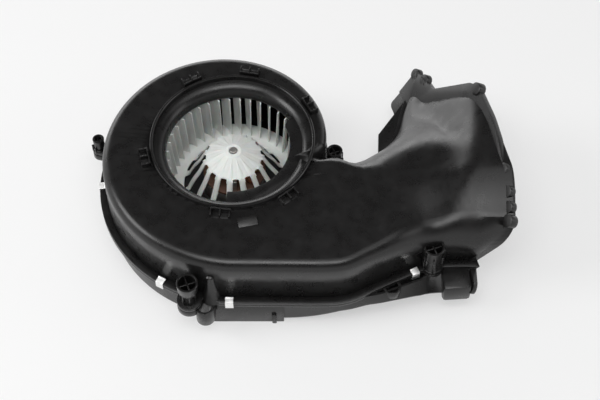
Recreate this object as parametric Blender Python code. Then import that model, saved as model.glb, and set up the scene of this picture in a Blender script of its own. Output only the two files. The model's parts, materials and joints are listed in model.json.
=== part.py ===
"""Car cabin blower motor: a two-piece volute housing with a squirrel cage wheel on a brushed motor.

Sizes are in millimetres, and each mesh is scaled to metres when its object is made. The origin is on
the fan axis, on the plane that the housing stands on. +Z is up and the outlet faces +X.
"""

import math

import bmesh
import bpy
from mathutils import Matrix, Vector
from mathutils.geometry import delaunay_2d_cdt

METRES = 0.001

# Clearances between pieces
GAP = 0.3
AIR_GAP = 1.0

# How far a shape reaches into the one that it is joined to
SINK = 1.0

# Housing, both shells
WALL = 2.5
SPLIT_HEIGHT = 42.0
TOP_HEIGHT = 100.0
DRUM_FILLET = 10.0
SCROLL_RADIUS = 93.5
SCROLL_GROWTH = 0.2
SCROLL_START = -3.0
SCROLL_END = 270.0
SCROLL_STEP = 9.1
FRONT_WALL = ((53, -148), (106, -147), (137, -134), (166, -120), (191, -109), (216, -106), (241, -106))
BACK_RIM = ((188, 125), (174, 83), (156, 34), (140, 9), (122, -2.5), (109, -7.5), (103, -9.5))
TONGUE = ((99.5, -10.8), (96, -10), (94, -8))
FAR_CORNERS = ((330, -106), (330, 200), (213, 200))
CURVE_STEP = 17.0
DUCT_GRID = 19.0
OUTER_ARC = (0.0, 30.0, 60.0, 90.0)
CAVITY_ARC = (0.0, 45.0, 90.0)

# Upper surface of the duct
BACK_DROP = 37.0
FRONT_DROP = 14.0
CROWN_HEIGHT = 110.0
FACET_SLOPE_X = 0.887
FACET_SLOPE_Y = -0.2213
FACET_LEVEL = -103.6
FRONT_FILLET_REACH = 22.0
FRONT_FILLET_DROP = 26.0
BACK_SHOULDER = ((-9.5, 10.0), (-7.5, 16.0), (-2.5, 28.0), (9.0, 36.0), (34.0, 38.0), (83.0, 30.0), (125.0, 26.0))
BACK_SHOULDER_SHARE = 0.85

# Lower surface of the duct
FLOOR_RISE = 25.0
FLOOR_RISE_START = 150.0
FLOOR_RISE_LENGTH = 52.0
LOWER_FILLET = 5.0
SKIRT_STATIONS = ((53, 0), (107, 2), (147, 13), (186, 16), (207, 7), (241, 0), (330, 0))
SKIRT_WALL = 2.2
SKIRT_POCKET_DEPTH = 10.0
LEAN_STATIONS = ((53, 0), (107, 1), (147, 3), (186, 10), (207, 20), (241, 28), (330, 30))

# Split flange
LEDGE_THICKNESS = 3.3
LEDGE_WIDTH = 7.5
LEDGE_WIDTH_TONGUE = 2.5
LEDGE_WIDTH_BACK_RIM = 4.0

# Gusset of the lower split flange behind the duct, the corner box under the outlet, and the front foot
GUSSET = ((178, 96), (150, 53), (149, 30), (165, 40))
CORNER_BOX_SIZE = (30.0, 26.0, 20.0)
CORNER_BOX_PLACE = (221.0, -124.0, 32.0)
CORNER_BOX_TURN = 4.0
FOOT_SIZE = (94.0, 16.0, 13.0)
FOOT_PLACE = (2.0, -143.5, 6.5)
FOOT_RIB = (5.0, 6.0, 13.0)

# Outlet plane and flange
OUTLET_TURN = 15.0
OUTLET_TILT = -35.0
OUTLET_DISTANCE = 143.5
OUTLET_FLANGE_THICKNESS = 5.0
OUTLET_CORNER = 5.0

# Outline of the outlet flange on each shell, and its round bosses and square ears, as distances along
# the level and the upward direction of the outlet plane
UPPER_OUTLINE = (
    (-166, 140), (-162, 211), (-150, 224), (-100, 237), (-65, 244), (-18, 244), (28, 190), (65, 181), (60, 140),
)
LOWER_OUTLINE = ((-194, 134), (60, 128), (62, 170), (-160, 170), (-166, 153), (-190, 144))
OUTLET_BOSSES = ((-164, 219), (-12, 243))
OUTLET_BOSS_RADIUS = 7.0
OUTLET_BOSS_LENGTH = 12.0
OUTLET_EARS = ((-146, 226), (-123, 233), (41, 190), (60, 184))
OUTLET_EAR_RADIUS = 5.5
OUTLET_EAR_LENGTH = 8.0

# Inlet
RING_RADIUS = 81.0
RING_WIDTH = 3.0
RING_HEIGHT = 5.0
THROAT_RADIUS = 67.0
THROAT_HEIGHT = 86.5
BELL_THICKNESS = 2.2
SHIELD_RADIUS = 55.5
SHIELD_START = -94.0
SHIELD_END = 37.0
SHIELD_HEIGHT = 94.5
SHIELD_THICKNESS = 2.5
INLET_SEGMENTS = 40

# Small brackets round the inlet: angle of each, then their common size
BRACKET_ANGLES = (31.6, 80.0, 120.0, 193.5, 261.6, 311.6)
BRACKET_RADIUS = 89.0
BRACKET_SIZE = (20.0, 9.0, 6.0)
BRACKET_WALL = 2.0
PAD_PLACE = (17.0, -97.0)
PAD_SIZE = (19.0, 9.0, 1.6)
PAD_TURN = 12.0

# Mounting towers: x, y, top height, radius and the direction they face in degrees
TOWERS = (
    (-41.5, -151.5, 78.0, 8.0, -105.0), (197.0, -117.5, 76.0, 8.0, -66.0),
    (102.5, 3.5, 80.0, 8.0, 2.0), (-141.5, 32.0, 62.0, 6.0, 167.0),
)
TOWER_WALL = 2.4
TOWER_FLOOR = 5.0
TOWER_PAD = 4.4
TOWER_RIB = 1.6

# Loop catches on the lower shell: x, y and the direction they face in degrees
CATCHES = ((-20.0, -155.5, -97.0), (157.5, -135.5, -65.0))
CATCH_RADIUS = 8.5
CATCH_HOLE = 5.2
CATCH_HEIGHT = 9.0

# Spring clips over the split flange: station angle round the scroll
CLIP_ANGLES = (50.0, 98.0, 142.0, 187.0, 242.0, 269.5)
CLIP_WIDTH = 8.0
CLIP_SHEET = 0.8
CLIP_DEPTH = 6.0
DUCT_CLIP = (178.2, -114.6, -66.25)

# Motor seat in the lower shell
SEAT_HOLE_RADIUS = 63.0
SEAT_RADIUS = 80.3
SEAT_HEIGHT = 5.0
SCREW_CIRCLE = 71.5
SCREW_COUNT = 4
SCREW_SHANK_RADIUS = 1.8
SCREW_HEAD_RADIUS = 3.6
SCREW_HEAD_HEIGHT = 1.9
SCREW_LENGTH = 12.5
BOSS_RADIUS = 5.0
BOSS_HEIGHT = 10.0

# Motor carrier
CARRIER_FLANGE_THICKNESS = 2.2
CARRIER_DECK_HEIGHT = 26.0
POCKET_RADIUS = 34.0
CARRIER_RIBS = 6

# Motor
CAN_RADIUS = 31.0
CAN_SHEET = 1.5
CAN_BOTTOM = 6.0
CAN_HEIGHT = 44.0
SHAFT_RADIUS = 4.0
SHAFT_TOP = 86.0
BEARING_RADIUS = 8.0
BEARING_HEIGHT = 6.0
MAGNET_THICKNESS = 4.7
MAGNET_SPAN = 130.0
CORE_SLOTS = 12
CORE_BOTTOM = 15.0
CORE_LENGTH = 27.0
SLOT_WIDTH = 3.4
WINDING_OVERHANG = 7.0
COMMUTATOR_RADIUS = 10.0
COMMUTATOR_BARS = 12
BRUSH_PLATE_THICKNESS = 3.0
BRUSH_SIZE = 6.0
BRUSH_LENGTH = 9.5
HOLDER_WALL = 1.2
HOLDER_LENGTH = 15.5
SPRING_WIRE = 0.35
SPRING_TURNS = 3

# Wheel
WHEEL_RADIUS = 76.0
BLADE_INNER_RADIUS = 60.0
BLADE_COUNT = 38
BLADE_ADVANCE = 6.5
BLADE_THICKNESS = 1.1
WHEEL_BOTTOM = 28.0
WHEEL_TOP = 84.0
BACKPLATE_THICKNESS = 2.0
RIM_BAND_HEIGHT = 4.0
RIM_BAND_THICKNESS = 1.4
DOME = ((60.0, 0.0), (55.0, 9.0), (47.0, 27.0), (36.0, 43.0), (24.0, 52.5), (14.0, 56.0))
DOME_THICKNESS = 2.0
HUB_RADIUS = 9.0
WINDOW_COUNT = 15
WINDOW_INNER_RADIUS = 29.0
WINDOW_OUTER_RADIUS = 56.0
SPOKE_WIDTH = 5.0

# Connector
SOCKET_SIZE = (26.0, 16.0, 20.0)
SOCKET_RADIUS = 48.0
SOCKET_ANGLE = 180.0
SOCKET_WALL = 1.8
TERMINAL_SIZE = (6.3, 0.8, 12.0)
TERMINAL_PITCH = 8.0


def smooth(t):
    """Smooth step from 0 to 1."""
    t = min(max(t, 0.0), 1.0)
    return t * t * (3 - 2 * t)


def smooth_max(a, b, blend):
    """The larger of two heights, with their meeting line rounded over blend."""
    h = max(blend - abs(a - b), 0.0) / blend
    return max(a, b) + h * h * blend / 4


def between(stations, value):
    """Linear reading of a list of (position, reading) pairs."""
    if value <= stations[0][0]:
        return stations[0][1]
    for (x0, y0), (x1, y1) in zip(stations, stations[1:]):
        if value <= x1:
            return y0 + (y1 - y0) * (value - x0) / (x1 - x0)
    return stations[-1][1]


def smooth_curve(points, step):
    """Points of a Catmull-Rom curve through the given points, about step apart, without the last one."""
    points = [Vector(p) for p in points]
    found = []
    for i in range(len(points) - 1):
        p0, p1 = points[max(i - 1, 0)], points[i]
        p2, p3 = points[i + 1], points[min(i + 2, len(points) - 1)]
        count = max(1, round((p2 - p1).length / step))
        for k in range(count):
            t = k / count
            found.append(
                0.5 * (2 * p1 + (p2 - p0) * t + (2 * p0 - 5 * p1 + 4 * p2 - p3) * t * t
                       + (3 * p1 - p0 - 3 * p2 + p3) * t ** 3)
            )
    return found


def polar(radius, degrees):
    return Vector((radius * math.cos(math.radians(degrees)), radius * math.sin(math.radians(degrees))))


def scroll_radius(degrees):
    return SCROLL_RADIUS + SCROLL_GROWTH * max(degrees, 0.0)


def outlet_frame():
    """Axes of the outlet plane: its normal, the level direction in it, and the upward direction in it."""
    turn, tilt = math.radians(OUTLET_TURN), math.radians(OUTLET_TILT)
    normal = Vector((math.cos(tilt) * math.cos(turn), math.cos(tilt) * math.sin(turn), math.sin(tilt)))
    level = Vector((-math.sin(turn), math.cos(turn), 0.0))
    return normal, level, normal.cross(level)


class Station:
    """One point of the housing outline, with the fillet over it."""

    def __init__(self, point, reach, drop, ledge):
        self.point = Vector(point)
        self.reach = reach
        self.drop = drop
        self.ledge = ledge
        self.lean = 0.0


def duct_main_height(x, y):
    """Top of the housing without the crown over the outlet."""
    back = BACK_DROP * smooth((y + 15) / 100) * smooth((x - 95) / 30)
    front = FRONT_DROP * smooth((-y - 40) / 60) * smooth((x - 150) / 90)
    return TOP_HEIGHT - back - front


def top_height(x, y):
    """Height of the housing's upper surface."""
    main = duct_main_height(x, y)
    facet = FACET_SLOPE_X * x + FACET_SLOPE_Y * y + FACET_LEVEL
    crown = CROWN_HEIGHT - 0.0012 * (y - 30) ** 2
    lobe = -smooth_max(-facet, -crown, 12.0)
    return smooth_max(main, lobe, 3.0 + max(0.0, 0.3 * (20 - y)))


def floor_height(x, y):
    """Height of the housing's underside."""
    return FLOOR_RISE * smooth((math.hypot(x, y) - FLOOR_RISE_START) / FLOOR_RISE_LENGTH)


def upper_stations():
    """The outline of the upper shell at the split, counter-clockwise from the tongue."""
    stations = []
    steps = round((SCROLL_END - SCROLL_START) / SCROLL_STEP)
    for i in range(steps + 1):
        angle = SCROLL_START + (SCROLL_END - SCROLL_START) * i / steps
        ledge = LEDGE_WIDTH_TONGUE + (LEDGE_WIDTH - LEDGE_WIDTH_TONGUE) * smooth((angle - 5) / 35)
        stations.append(Station(polar(scroll_radius(angle), angle), DRUM_FILLET, DRUM_FILLET, ledge))
    for point in smooth_curve(FRONT_WALL, CURVE_STEP) + [Vector(FRONT_WALL[-1])]:
        share = smooth((point.x - 106) / 135)
        reach = DRUM_FILLET + (FRONT_FILLET_REACH - DRUM_FILLET) * share
        drop = DRUM_FILLET + (FRONT_FILLET_DROP - DRUM_FILLET) * share
        stations.append(Station(point, reach, drop, LEDGE_WIDTH))
    for point in FAR_CORNERS:
        stations.append(Station(point, DRUM_FILLET, DRUM_FILLET, LEDGE_WIDTH_BACK_RIM))
    for point in smooth_curve(BACK_RIM + TONGUE, CURVE_STEP) + [Vector(TONGUE[-1])]:
        reach = between(BACK_SHOULDER, point.y)
        share = smooth((reach - DRUM_FILLET) / 20)
        full = BACK_SHOULDER_SHARE * (duct_main_height(point.x, point.y) - SPLIT_HEIGHT)
        drop = DRUM_FILLET + (full - DRUM_FILLET) * share
        ledge = LEDGE_WIDTH_TONGUE + (LEDGE_WIDTH_BACK_RIM - LEDGE_WIDTH_TONGUE) * smooth((point.y + 10) / 20)
        stations.append(Station(point, reach, drop, ledge))
    return stations


def lower_stations(skirt):
    """The outline of the lower shell at the split: as the upper one, with a skirt at the front of the duct.

    skirt is 1 for the outer face, and 0 for the air channel inside it.
    """
    stations = upper_stations()
    for station in stations:
        station.reach = station.drop = LOWER_FILLET
        if station.point.y < -90 and station.point.x > 0:
            station.lean = between(LEAN_STATIONS, station.point.x)
            station.point.y -= skirt * between(SKIRT_STATIONS, station.point.x)
    return stations


def offset_loop(points, distances):
    """A closed counter-clockwise loop moved outwards by a distance at each point, with mitred corners."""
    moved = []
    for i, point in enumerate(points):
        before = (point - points[i - 1]).normalized()
        after = (points[(i + 1) % len(points)] - point).normalized()
        n1, n2 = Vector((before.y, -before.x)), Vector((after.y, -after.x))
        moved.append(point + (n1 + n2) * (distances[i] / (1 + n1.dot(n2))))
    return moved


def inside(point, loop):
    """True where the point lies inside the loop."""
    within = False
    for i, b in enumerate(loop):
        a = loop[i - 1]
        if (a.y > point.y) != (b.y > point.y):
            if point.x < a.x + (b.x - a.x) * (point.y - a.y) / (b.y - a.y):
                within = not within
    return within


def near_loop(point, loop, distance):
    """True where the point lies closer than distance to an edge of the loop."""
    for i, b in enumerate(loop):
        a = loop[i - 1]
        edge = b - a
        t = min(max((point - a).dot(edge) / max(edge.length_squared, 1e-9), 0.0), 1.0)
        if (a + edge * t - point).length < distance:
            return True
    return False


def duct_points(loop):
    """Points of a triangular grid over the duct, inside the loop."""
    found = []
    row = 0
    y = min(p.y for p in loop)
    while y < max(p.y for p in loop):
        x = SCROLL_RADIUS + (row % 2) * DUCT_GRID / 2
        while x < max(p.x for p in loop):
            point = Vector((x, y))
            if inside(point, loop) and not near_loop(point, loop, 0.6 * DUCT_GRID):
                found.append(point)
            x += DUCT_GRID
        y += DUCT_GRID * 0.866
        row += 1
    return found


def housing_form(stations, inset, base, height, up, arc):
    """A closed solid of the housing from its split plane to its outer face.

    inset is how far the form lies inside the outer face. up is 1 for the upper shell and -1 for the lower
    one. arc holds the angles at which the fillet is cut into facets.
    """
    points = [s.point for s in stations]
    rows = [[(p.x, p.y, base) for p in offset_loop(points, [-inset] * len(points))]]
    for degrees in arc:
        angle = math.radians(degrees)
        inwards = [-inset - (s.reach - inset) * (1 - math.cos(angle)) for s in stations]
        row = []
        for station, place in zip(stations, offset_loop(points, inwards)):
            place = Vector((place.x, place.y - station.lean))
            fall = inset + (station.drop - inset) * (1 - math.sin(angle))
            row.append((place.x, place.y, height(place.x, place.y) - up * fall))
        rows.append(row)
    bm = bmesh.new()
    loops = [[bm.verts.new(p) for p in row] for row in rows]
    count = len(stations)
    for lower, upper in zip(loops, loops[1:]):
        for i in range(count):
            j = (i + 1) % count
            bm.faces.new((lower[i], lower[j], upper[j], upper[i]))
    bm.faces.new(loops[0])
    edge = [Vector((v.co.x, v.co.y)) for v in loops[-1]]
    flat = delaunay_2d_cdt(edge + duct_points(edge), [], [list(range(count))], 1, 1e-4)
    made = []
    for place, origin in zip(flat[0], flat[3]):
        if origin and min(origin) < count:
            made.append(loops[-1][min(origin)])
        else:
            made.append(bm.verts.new((place.x, place.y, height(place.x, place.y) - up * inset)))
    for face in flat[2]:
        bm.faces.new([made[i] for i in face])
    bmesh.ops.delete(bm, geom=[v for v in bm.verts if not v.link_faces], context="VERTS")
    bmesh.ops.recalc_face_normals(bm, faces=bm.faces)
    return bm


def prism(loop, bottom, top):
    """An upright prism over a loop of points."""
    bm = bmesh.new()
    face = bm.faces.new([bm.verts.new((p[0], p[1], bottom)) for p in loop])
    raised = bmesh.ops.extrude_face_region(bm, geom=[face])["geom"]
    for vert in [g for g in raised if isinstance(g, bmesh.types.BMVert)]:
        vert.co.z = top
    bmesh.ops.recalc_face_normals(bm, faces=bm.faces)
    return bm


def block(size, centre, turn=0.0):
    """A box of the given size about a centre, turned about the vertical in degrees."""
    place = Matrix.Translation(centre) @ Matrix.Rotation(math.radians(turn), 4, "Z")
    bm = bmesh.new()
    bmesh.ops.create_cube(bm, size=1.0, matrix=place @ Matrix.Diagonal((*size, 1.0)))
    return bm


def cylinder(radius, bottom, top, centre=(0.0, 0.0), segments=24, upper_radius=None):
    """An upright cylinder, or a cone with another radius at its top."""
    bm = bmesh.new()
    bmesh.ops.create_cone(
        bm, cap_ends=True, segments=segments, radius1=radius,
        radius2=radius if upper_radius is None else upper_radius, depth=top - bottom,
        matrix=Matrix.Translation((centre[0], centre[1], (bottom + top) / 2)),
    )
    return bm


def ring(profile, segments, start=0.0, span=360.0, centre=(0.0, 0.0)):
    """A closed profile of (radius, height) points turned about a vertical line through the centre."""
    bm = bmesh.new()
    loop = [bm.verts.new((*polar(r, start), z)) for r, z in profile]
    edges = [bm.edges.new((loop[i - 1], loop[i])) for i in range(len(loop))]
    whole = span >= 360.0
    if not whole:
        edges = bm.faces.new(loop).edges[:]
    bmesh.ops.spin(
        bm, geom=loop + edges + ([] if whole else bm.faces[:]), cent=(0, 0, 0), axis=(0, 0, 1),
        angle=math.radians(span), steps=segments, use_merge=whole,
    )
    bmesh.ops.remove_doubles(bm, verts=bm.verts, dist=1e-4)
    bmesh.ops.translate(bm, verts=bm.verts, vec=(centre[0], centre[1], 0.0))
    bmesh.ops.recalc_face_normals(bm, faces=bm.faces)
    return bm


def disc(profile, segments, centre=(0.0, 0.0)):
    """A profile of (radius, height) points that starts and ends on the axis, turned about it."""
    bm = bmesh.new()
    line = [bm.verts.new((r, 0.0, z)) for r, z in profile]
    edges = [bm.edges.new((line[i - 1], line[i])) for i in range(1, len(line))]
    bmesh.ops.spin(
        bm, geom=line + edges, cent=(0, 0, 0), axis=(0, 0, 1), angle=math.tau, steps=segments,
        use_merge=True,
    )
    bmesh.ops.remove_doubles(bm, verts=bm.verts, dist=1e-4)
    bmesh.ops.translate(bm, verts=bm.verts, vec=(centre[0], centre[1], 0.0))
    bmesh.ops.recalc_face_normals(bm, faces=bm.faces)
    return bm


def merged(*parts):
    """Several meshes as one, without joining their surfaces."""
    whole = bmesh.new()
    for part in parts:
        mesh = bpy.data.meshes.new("part")
        part.to_mesh(mesh)
        part.free()
        whole.from_mesh(mesh)
        bpy.data.meshes.remove(mesh)
    return whole


def combine(body, tool, operation, solver="EXACT"):
    """The union, difference or intersection of two closed meshes."""
    objects = []
    for bm in (body, tool):
        mesh = bpy.data.meshes.new("operand")
        bm.to_mesh(mesh)
        bm.free()
        objects.append(bpy.data.objects.new("operand", mesh))
        bpy.context.scene.collection.objects.link(objects[-1])
    modifier = objects[0].modifiers.new("cut", "BOOLEAN")
    modifier.operation = operation
    modifier.object = objects[1]
    modifier.solver = solver
    graph = bpy.context.evaluated_depsgraph_get()
    result = bpy.data.meshes.new_from_object(objects[0].evaluated_get(graph))
    joined = bmesh.new()
    joined.from_mesh(result)
    for obj in objects:
        mesh = obj.data
        bpy.data.objects.remove(obj)
        bpy.data.meshes.remove(mesh)
    bpy.data.meshes.remove(result)
    return joined


def union(body, *tools, solver="EXACT"):
    for tool in tools:
        body = combine(body, tool, "UNION", solver)
    return body


def cut(body, *tools, solver="EXACT"):
    for tool in tools:
        body = combine(body, tool, "DIFFERENCE", solver)
    return body


def shell_union(body, *tools):
    """A union on a housing shell, whose thin walls need the manifold solver."""
    return union(body, *tools, solver="MANIFOLD")


def shell_cut(body, *tools):
    """A cut in a housing shell, whose thin walls need the manifold solver."""
    return cut(body, *tools, solver="MANIFOLD")


MATERIALS = {
    "black_plastic": ((0.018, 0.017, 0.017), 0.35, 0.0),
    "wheel_plastic": ((0.72, 0.73, 0.71), 0.45, 0.0),
    "spring_steel": ((0.75, 0.75, 0.74), 0.25, 1.0),
    "motor_steel": ((0.55, 0.55, 0.54), 0.35, 1.0),
    "bearing_steel": ((0.62, 0.6, 0.56), 0.3, 1.0),
    "copper": ((0.72, 0.33, 0.2), 0.3, 1.0),
    "brass": ((0.75, 0.58, 0.3), 0.3, 1.0),
    "ferrite": ((0.05, 0.05, 0.055), 0.6, 0.0),
    "carbon": ((0.03, 0.03, 0.032), 0.7, 0.0),
    "rubber": ((0.025, 0.025, 0.025), 0.8, 0.0),
    "carrier_plastic": ((0.02, 0.02, 0.022), 0.45, 0.0),
    "brush_plate_plastic": ((0.1, 0.06, 0.045), 0.55, 0.0),
    "core_steel": ((0.4, 0.4, 0.41), 0.45, 1.0),
    "socket_plastic": ((0.04, 0.04, 0.045), 0.5, 0.0),
}


def material(name):
    """The named material, made the first time it is asked for."""
    found = bpy.data.materials.get(name)
    if found:
        return found
    colour, roughness, metallic = MATERIALS[name]
    made = bpy.data.materials.new(name)
    made.use_nodes = True
    shader = made.node_tree.nodes["Principled BSDF"]
    shader.inputs["Base Color"].default_value = (*colour, 1.0)
    shader.inputs["Roughness"].default_value = roughness
    shader.inputs["Metallic"].default_value = metallic
    made.diffuse_color = (*colour, 1.0)
    return made


def add(name, bm, finish, parent=None, origin=(0.0, 0.0, 0.0)):
    """Makes the object of a mesh, with its own origin, its material and its parent."""
    bmesh.ops.translate(bm, verts=bm.verts, vec=-Vector(origin))
    bmesh.ops.scale(bm, verts=bm.verts, vec=(METRES, METRES, METRES))
    mesh = bpy.data.meshes.new(name)
    bm.to_mesh(mesh)
    bm.free()
    mesh.shade_smooth()
    mesh.set_sharp_from_angle(angle=math.radians(35))
    mesh.materials.append(material(finish))
    obj = bpy.data.objects.new(name, mesh)
    bpy.context.scene.collection.objects.link(obj)
    obj.location = Vector(origin) * METRES
    if parent:
        obj.parent = parent
        obj.location = obj.location - parent.location
    return obj


def outlet_slab(start, end, size=700.0):
    """A thick plate along the outlet plane, from start to end along the plane's normal."""
    normal, level, upward = outlet_frame()
    axes = Matrix((normal, level, upward)).transposed().to_4x4()
    centre = normal * (OUTLET_DISTANCE + (start + end) / 2)
    bm = bmesh.new()
    bmesh.ops.create_cube(
        bm, size=1.0,
        matrix=Matrix.Translation(centre) @ axes @ Matrix.Diagonal((end - start, size, size, 1.0)),
    )
    return bm


def outlet_plate(outline, low, high):
    """The plate of the outlet flange over an outline, kept between two heights."""
    normal, level, upward = outlet_frame()
    corners = [normal * OUTLET_DISTANCE + level * a + upward * b for a, b in outline]
    bm = bmesh.new()
    face = bm.faces.new([bm.verts.new(p - normal * OUTLET_FLANGE_THICKNESS) for p in corners])
    raised = bmesh.ops.extrude_face_region(bm, geom=[face])["geom"]
    moved = [g for g in raised if isinstance(g, bmesh.types.BMVert)]
    bmesh.ops.translate(bm, verts=moved, vec=normal * (OUTLET_FLANGE_THICKNESS + SINK))
    along = [e for e in bm.edges if abs((e.verts[1].co - e.verts[0].co).normalized().dot(normal)) > 0.99]
    bmesh.ops.bevel(bm, geom=along, offset=OUTLET_CORNER, segments=2, profile=0.5, affect="EDGES")
    bmesh.ops.recalc_face_normals(bm, faces=bm.faces)
    kept = block((700, 700, high - low), (0, 0, (low + high) / 2))
    return combine(bm, kept, "INTERSECT", "MANIFOLD")


def outlet_lug(point, length, radius, segments=12):
    """A short round boss across the outlet flange, at a point given in the plane's own directions."""
    normal, level, upward = outlet_frame()
    axes = Matrix((level, upward, normal)).transposed().to_4x4()
    foot = normal * (OUTLET_DISTANCE + SINK) + level * point[0] + upward * point[1]
    bm = bmesh.new()
    bmesh.ops.create_cone(
        bm, cap_ends=True, segments=segments, radius1=radius, radius2=radius, depth=length,
        matrix=Matrix.Translation(foot - normal * length / 2) @ axes,
    )
    return bm


def ledge_loop(stations):
    return offset_loop([s.point for s in stations], [s.ledge for s in stations])


def tower(x, y, top, radius, base):
    """A hollow mounting tower with crossed ribs inside, open at its top."""
    hole = radius - TOWER_WALL
    tube = disc(
        ((0, base), (radius + 0.8, base), (radius, top), (hole, top),
         (hole - 0.6, base + TOWER_FLOOR), (0, base + TOWER_FLOOR)), 16, (x, y))
    height = top - base - TOWER_FLOOR - 6
    centre = (x, y, base + TOWER_FLOOR + height / 2 - 1)
    return union(
        tube,
        block((2 * hole + 1, TOWER_RIB, height), centre, 20),
        block((TOWER_RIB, 2 * hole + 1, height), centre, 20),
    )


def tower_web(x, y, top, radius, facing, base):
    """The plate that ties a tower to the housing wall."""
    middle = Vector((x, y)) - polar(radius + 2, facing)
    height = 0.6 * (top - base)
    return block((9.0, 2.2, height), (middle.x, middle.y, base + height / 2), facing)


def tower_tab(x, y, radius, facing, low, high):
    """The part of a split flange that reaches out under a tower."""
    back = polar(14.0, facing + 180)
    points = [polar(radius + 1.5, facing - 90 + 180 * i / 8) for i in range(9)]
    points = [points[0] + back] + points + [points[-1] + back]
    return prism([(p.x + x, p.y + y) for p in points], low, high)


def bracket(angle):
    """A small bracket beside the inlet, with two windows through it."""
    wide, deep, high = BRACKET_SIZE
    centre = polar(BRACKET_RADIUS, angle)
    turn = angle - 90
    z = TOP_HEIGHT + high / 2 - 1
    body = block((wide, deep, high + 2), (centre.x, centre.y, z), turn)
    window = (wide - 3 * BRACKET_WALL) / 2
    for side in (-1, 1):
        shift = polar(side * (window + BRACKET_WALL) / 2, turn)
        middle = (centre.x + shift.x, centre.y + shift.y, TOP_HEIGHT + high)
        body = cut(body, block((window, deep - 2 * BRACKET_WALL, high * 1.6), middle, turn))
    return body


def bellmouth():
    """The raised ring with the rounded mouth that leads down to the throat."""
    outer, inner = RING_RADIUS + RING_WIDTH / 2, RING_RADIUS - RING_WIDTH / 2
    top = TOP_HEIGHT + RING_HEIGHT
    depth = TOP_HEIGHT - THROAT_HEIGHT
    run = inner - THROAT_RADIUS
    skin = []
    for i in range(5):
        angle = math.radians(90 * i / 4)
        skin.append((inner - run * math.sin(angle), TOP_HEIGHT - 1 - (depth - 1) * (1 - math.cos(angle))))
    back = [(r + 0.4 * BELL_THICKNESS, z - BELL_THICKNESS) for r, z in reversed(skin)]
    profile = [(outer, TOP_HEIGHT - WALL + 0.4), (outer, top), (inner, top)] + skin + back[:-1]
    profile.append((inner, TOP_HEIGHT - WALL - 1.6))
    return ring(profile, INLET_SEGMENTS)


def shield():
    """The crescent that covers part of the inlet."""
    steps = 18
    angles = [SHIELD_START + (SHIELD_END - SHIELD_START) * i / steps for i in range(steps + 1)]
    outer = [polar(RING_RADIUS - RING_WIDTH / 2 + 0.8, a) for a in angles]
    inner = [polar(SHIELD_RADIUS + 8 * smooth((a - SHIELD_END + 14) / 14), a) for a in angles]
    return prism(outer + inner[::-1], SHIELD_HEIGHT - SHIELD_THICKNESS, SHIELD_HEIGHT)


def upper_shell():
    stations = upper_stations()
    base = SPLIT_HEIGHT + GAP / 2
    outer = housing_form(stations, 0.0, base + SINK, top_height, 1, OUTER_ARC)
    cavity = housing_form(stations, WALL, base - 5, top_height, 1, CAVITY_ARC)
    body = shell_union(
        outer, prism(ledge_loop(stations), base, base + LEDGE_THICKNESS),
        outlet_plate(UPPER_OUTLINE, base + SINK / 2, 300))
    for point in OUTLET_BOSSES:
        body = shell_union(body, outlet_lug(point, OUTLET_BOSS_LENGTH, OUTLET_BOSS_RADIUS))
    for point in OUTLET_EARS:
        body = shell_union(body, outlet_lug(point, OUTLET_EAR_LENGTH, OUTLET_EAR_RADIUS, 8))
    foot = base + SINK
    for x, y, top, radius, facing in TOWERS:
        tab = tower_tab(x, y, radius, facing, base + SINK / 2, base + TOWER_PAD)
        web = tower_web(x, y, top, radius, facing, foot)
        body = shell_union(body, tab, tower(x, y, top, radius, foot), web)
    mouth = cylinder(RING_RADIUS - 0.7, TOP_HEIGHT - 8, TOP_HEIGHT + 8, segments=INLET_SEGMENTS)
    body = shell_cut(body, cavity, mouth)
    body = shell_union(body, bellmouth(), shield())
    for angle in BRACKET_ANGLES:
        body = shell_union(body, bracket(angle))
    body = shell_union(body, block(PAD_SIZE, (*PAD_PLACE, TOP_HEIGHT), PAD_TURN))
    return shell_cut(body, outlet_slab(0, 300))


def catch(x, y, facing):
    """A half-round loop catch that stands out from the split flange."""
    points = [polar(CATCH_RADIUS, facing - 90 + 180 * i / 10) for i in range(11)]
    back = polar(6.0, facing + 180)
    loop = [points[0] + back] + points + [points[-1] + back]
    top = SPLIT_HEIGHT - GAP / 2
    return prism([(p.x + x, p.y + y) for p in loop], top - CATCH_HEIGHT, top)


def motor_seat():
    """The raised ring in the floor that the motor carrier is screwed under."""
    inner, outer = SEAT_RADIUS, SEAT_RADIUS + WALL
    return ring(
        ((outer, 0), (outer, SEAT_HEIGHT + WALL), (SEAT_HOLE_RADIUS, SEAT_HEIGHT + WALL),
         (SEAT_HOLE_RADIUS, SEAT_HEIGHT), (inner, SEAT_HEIGHT), (inner, 0)), INLET_SEGMENTS)


def screw_places():
    return [polar(SCREW_CIRCLE, 45 + 360 / SCREW_COUNT * i) for i in range(SCREW_COUNT)]


def skirt_pocket(top):
    """The open pocket between the split flange and the skirt at the front of the duct."""
    inner, outer = [], []
    for plain, skirted in zip(lower_stations(0), lower_stations(1)):
        depth = plain.point.y - skirted.point.y - SKIRT_WALL
        if depth > LEDGE_WIDTH + 2 * GAP:
            inner.append(plain.point - Vector((0, LEDGE_WIDTH + GAP)))
            outer.append(skirted.point + Vector((0, SKIRT_WALL)))
    return prism(inner + outer[::-1], top - SKIRT_POCKET_DEPTH, top + 1)


def clip_notch(top):
    """Room for the inner end of the clip in the skirt, under the split flange."""
    x, y, facing = DUCT_CLIP
    middle = Vector((x, y)) + polar((LEDGE_WIDTH + 1 + LEDGE_WIDTH) / 2, facing)
    height = SKIRT_POCKET_DEPTH - LEDGE_THICKNESS
    centre = (middle.x, middle.y, top - LEDGE_THICKNESS - height / 2)
    return block((LEDGE_WIDTH + 7, CLIP_WIDTH + 2, height), centre, facing)


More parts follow.
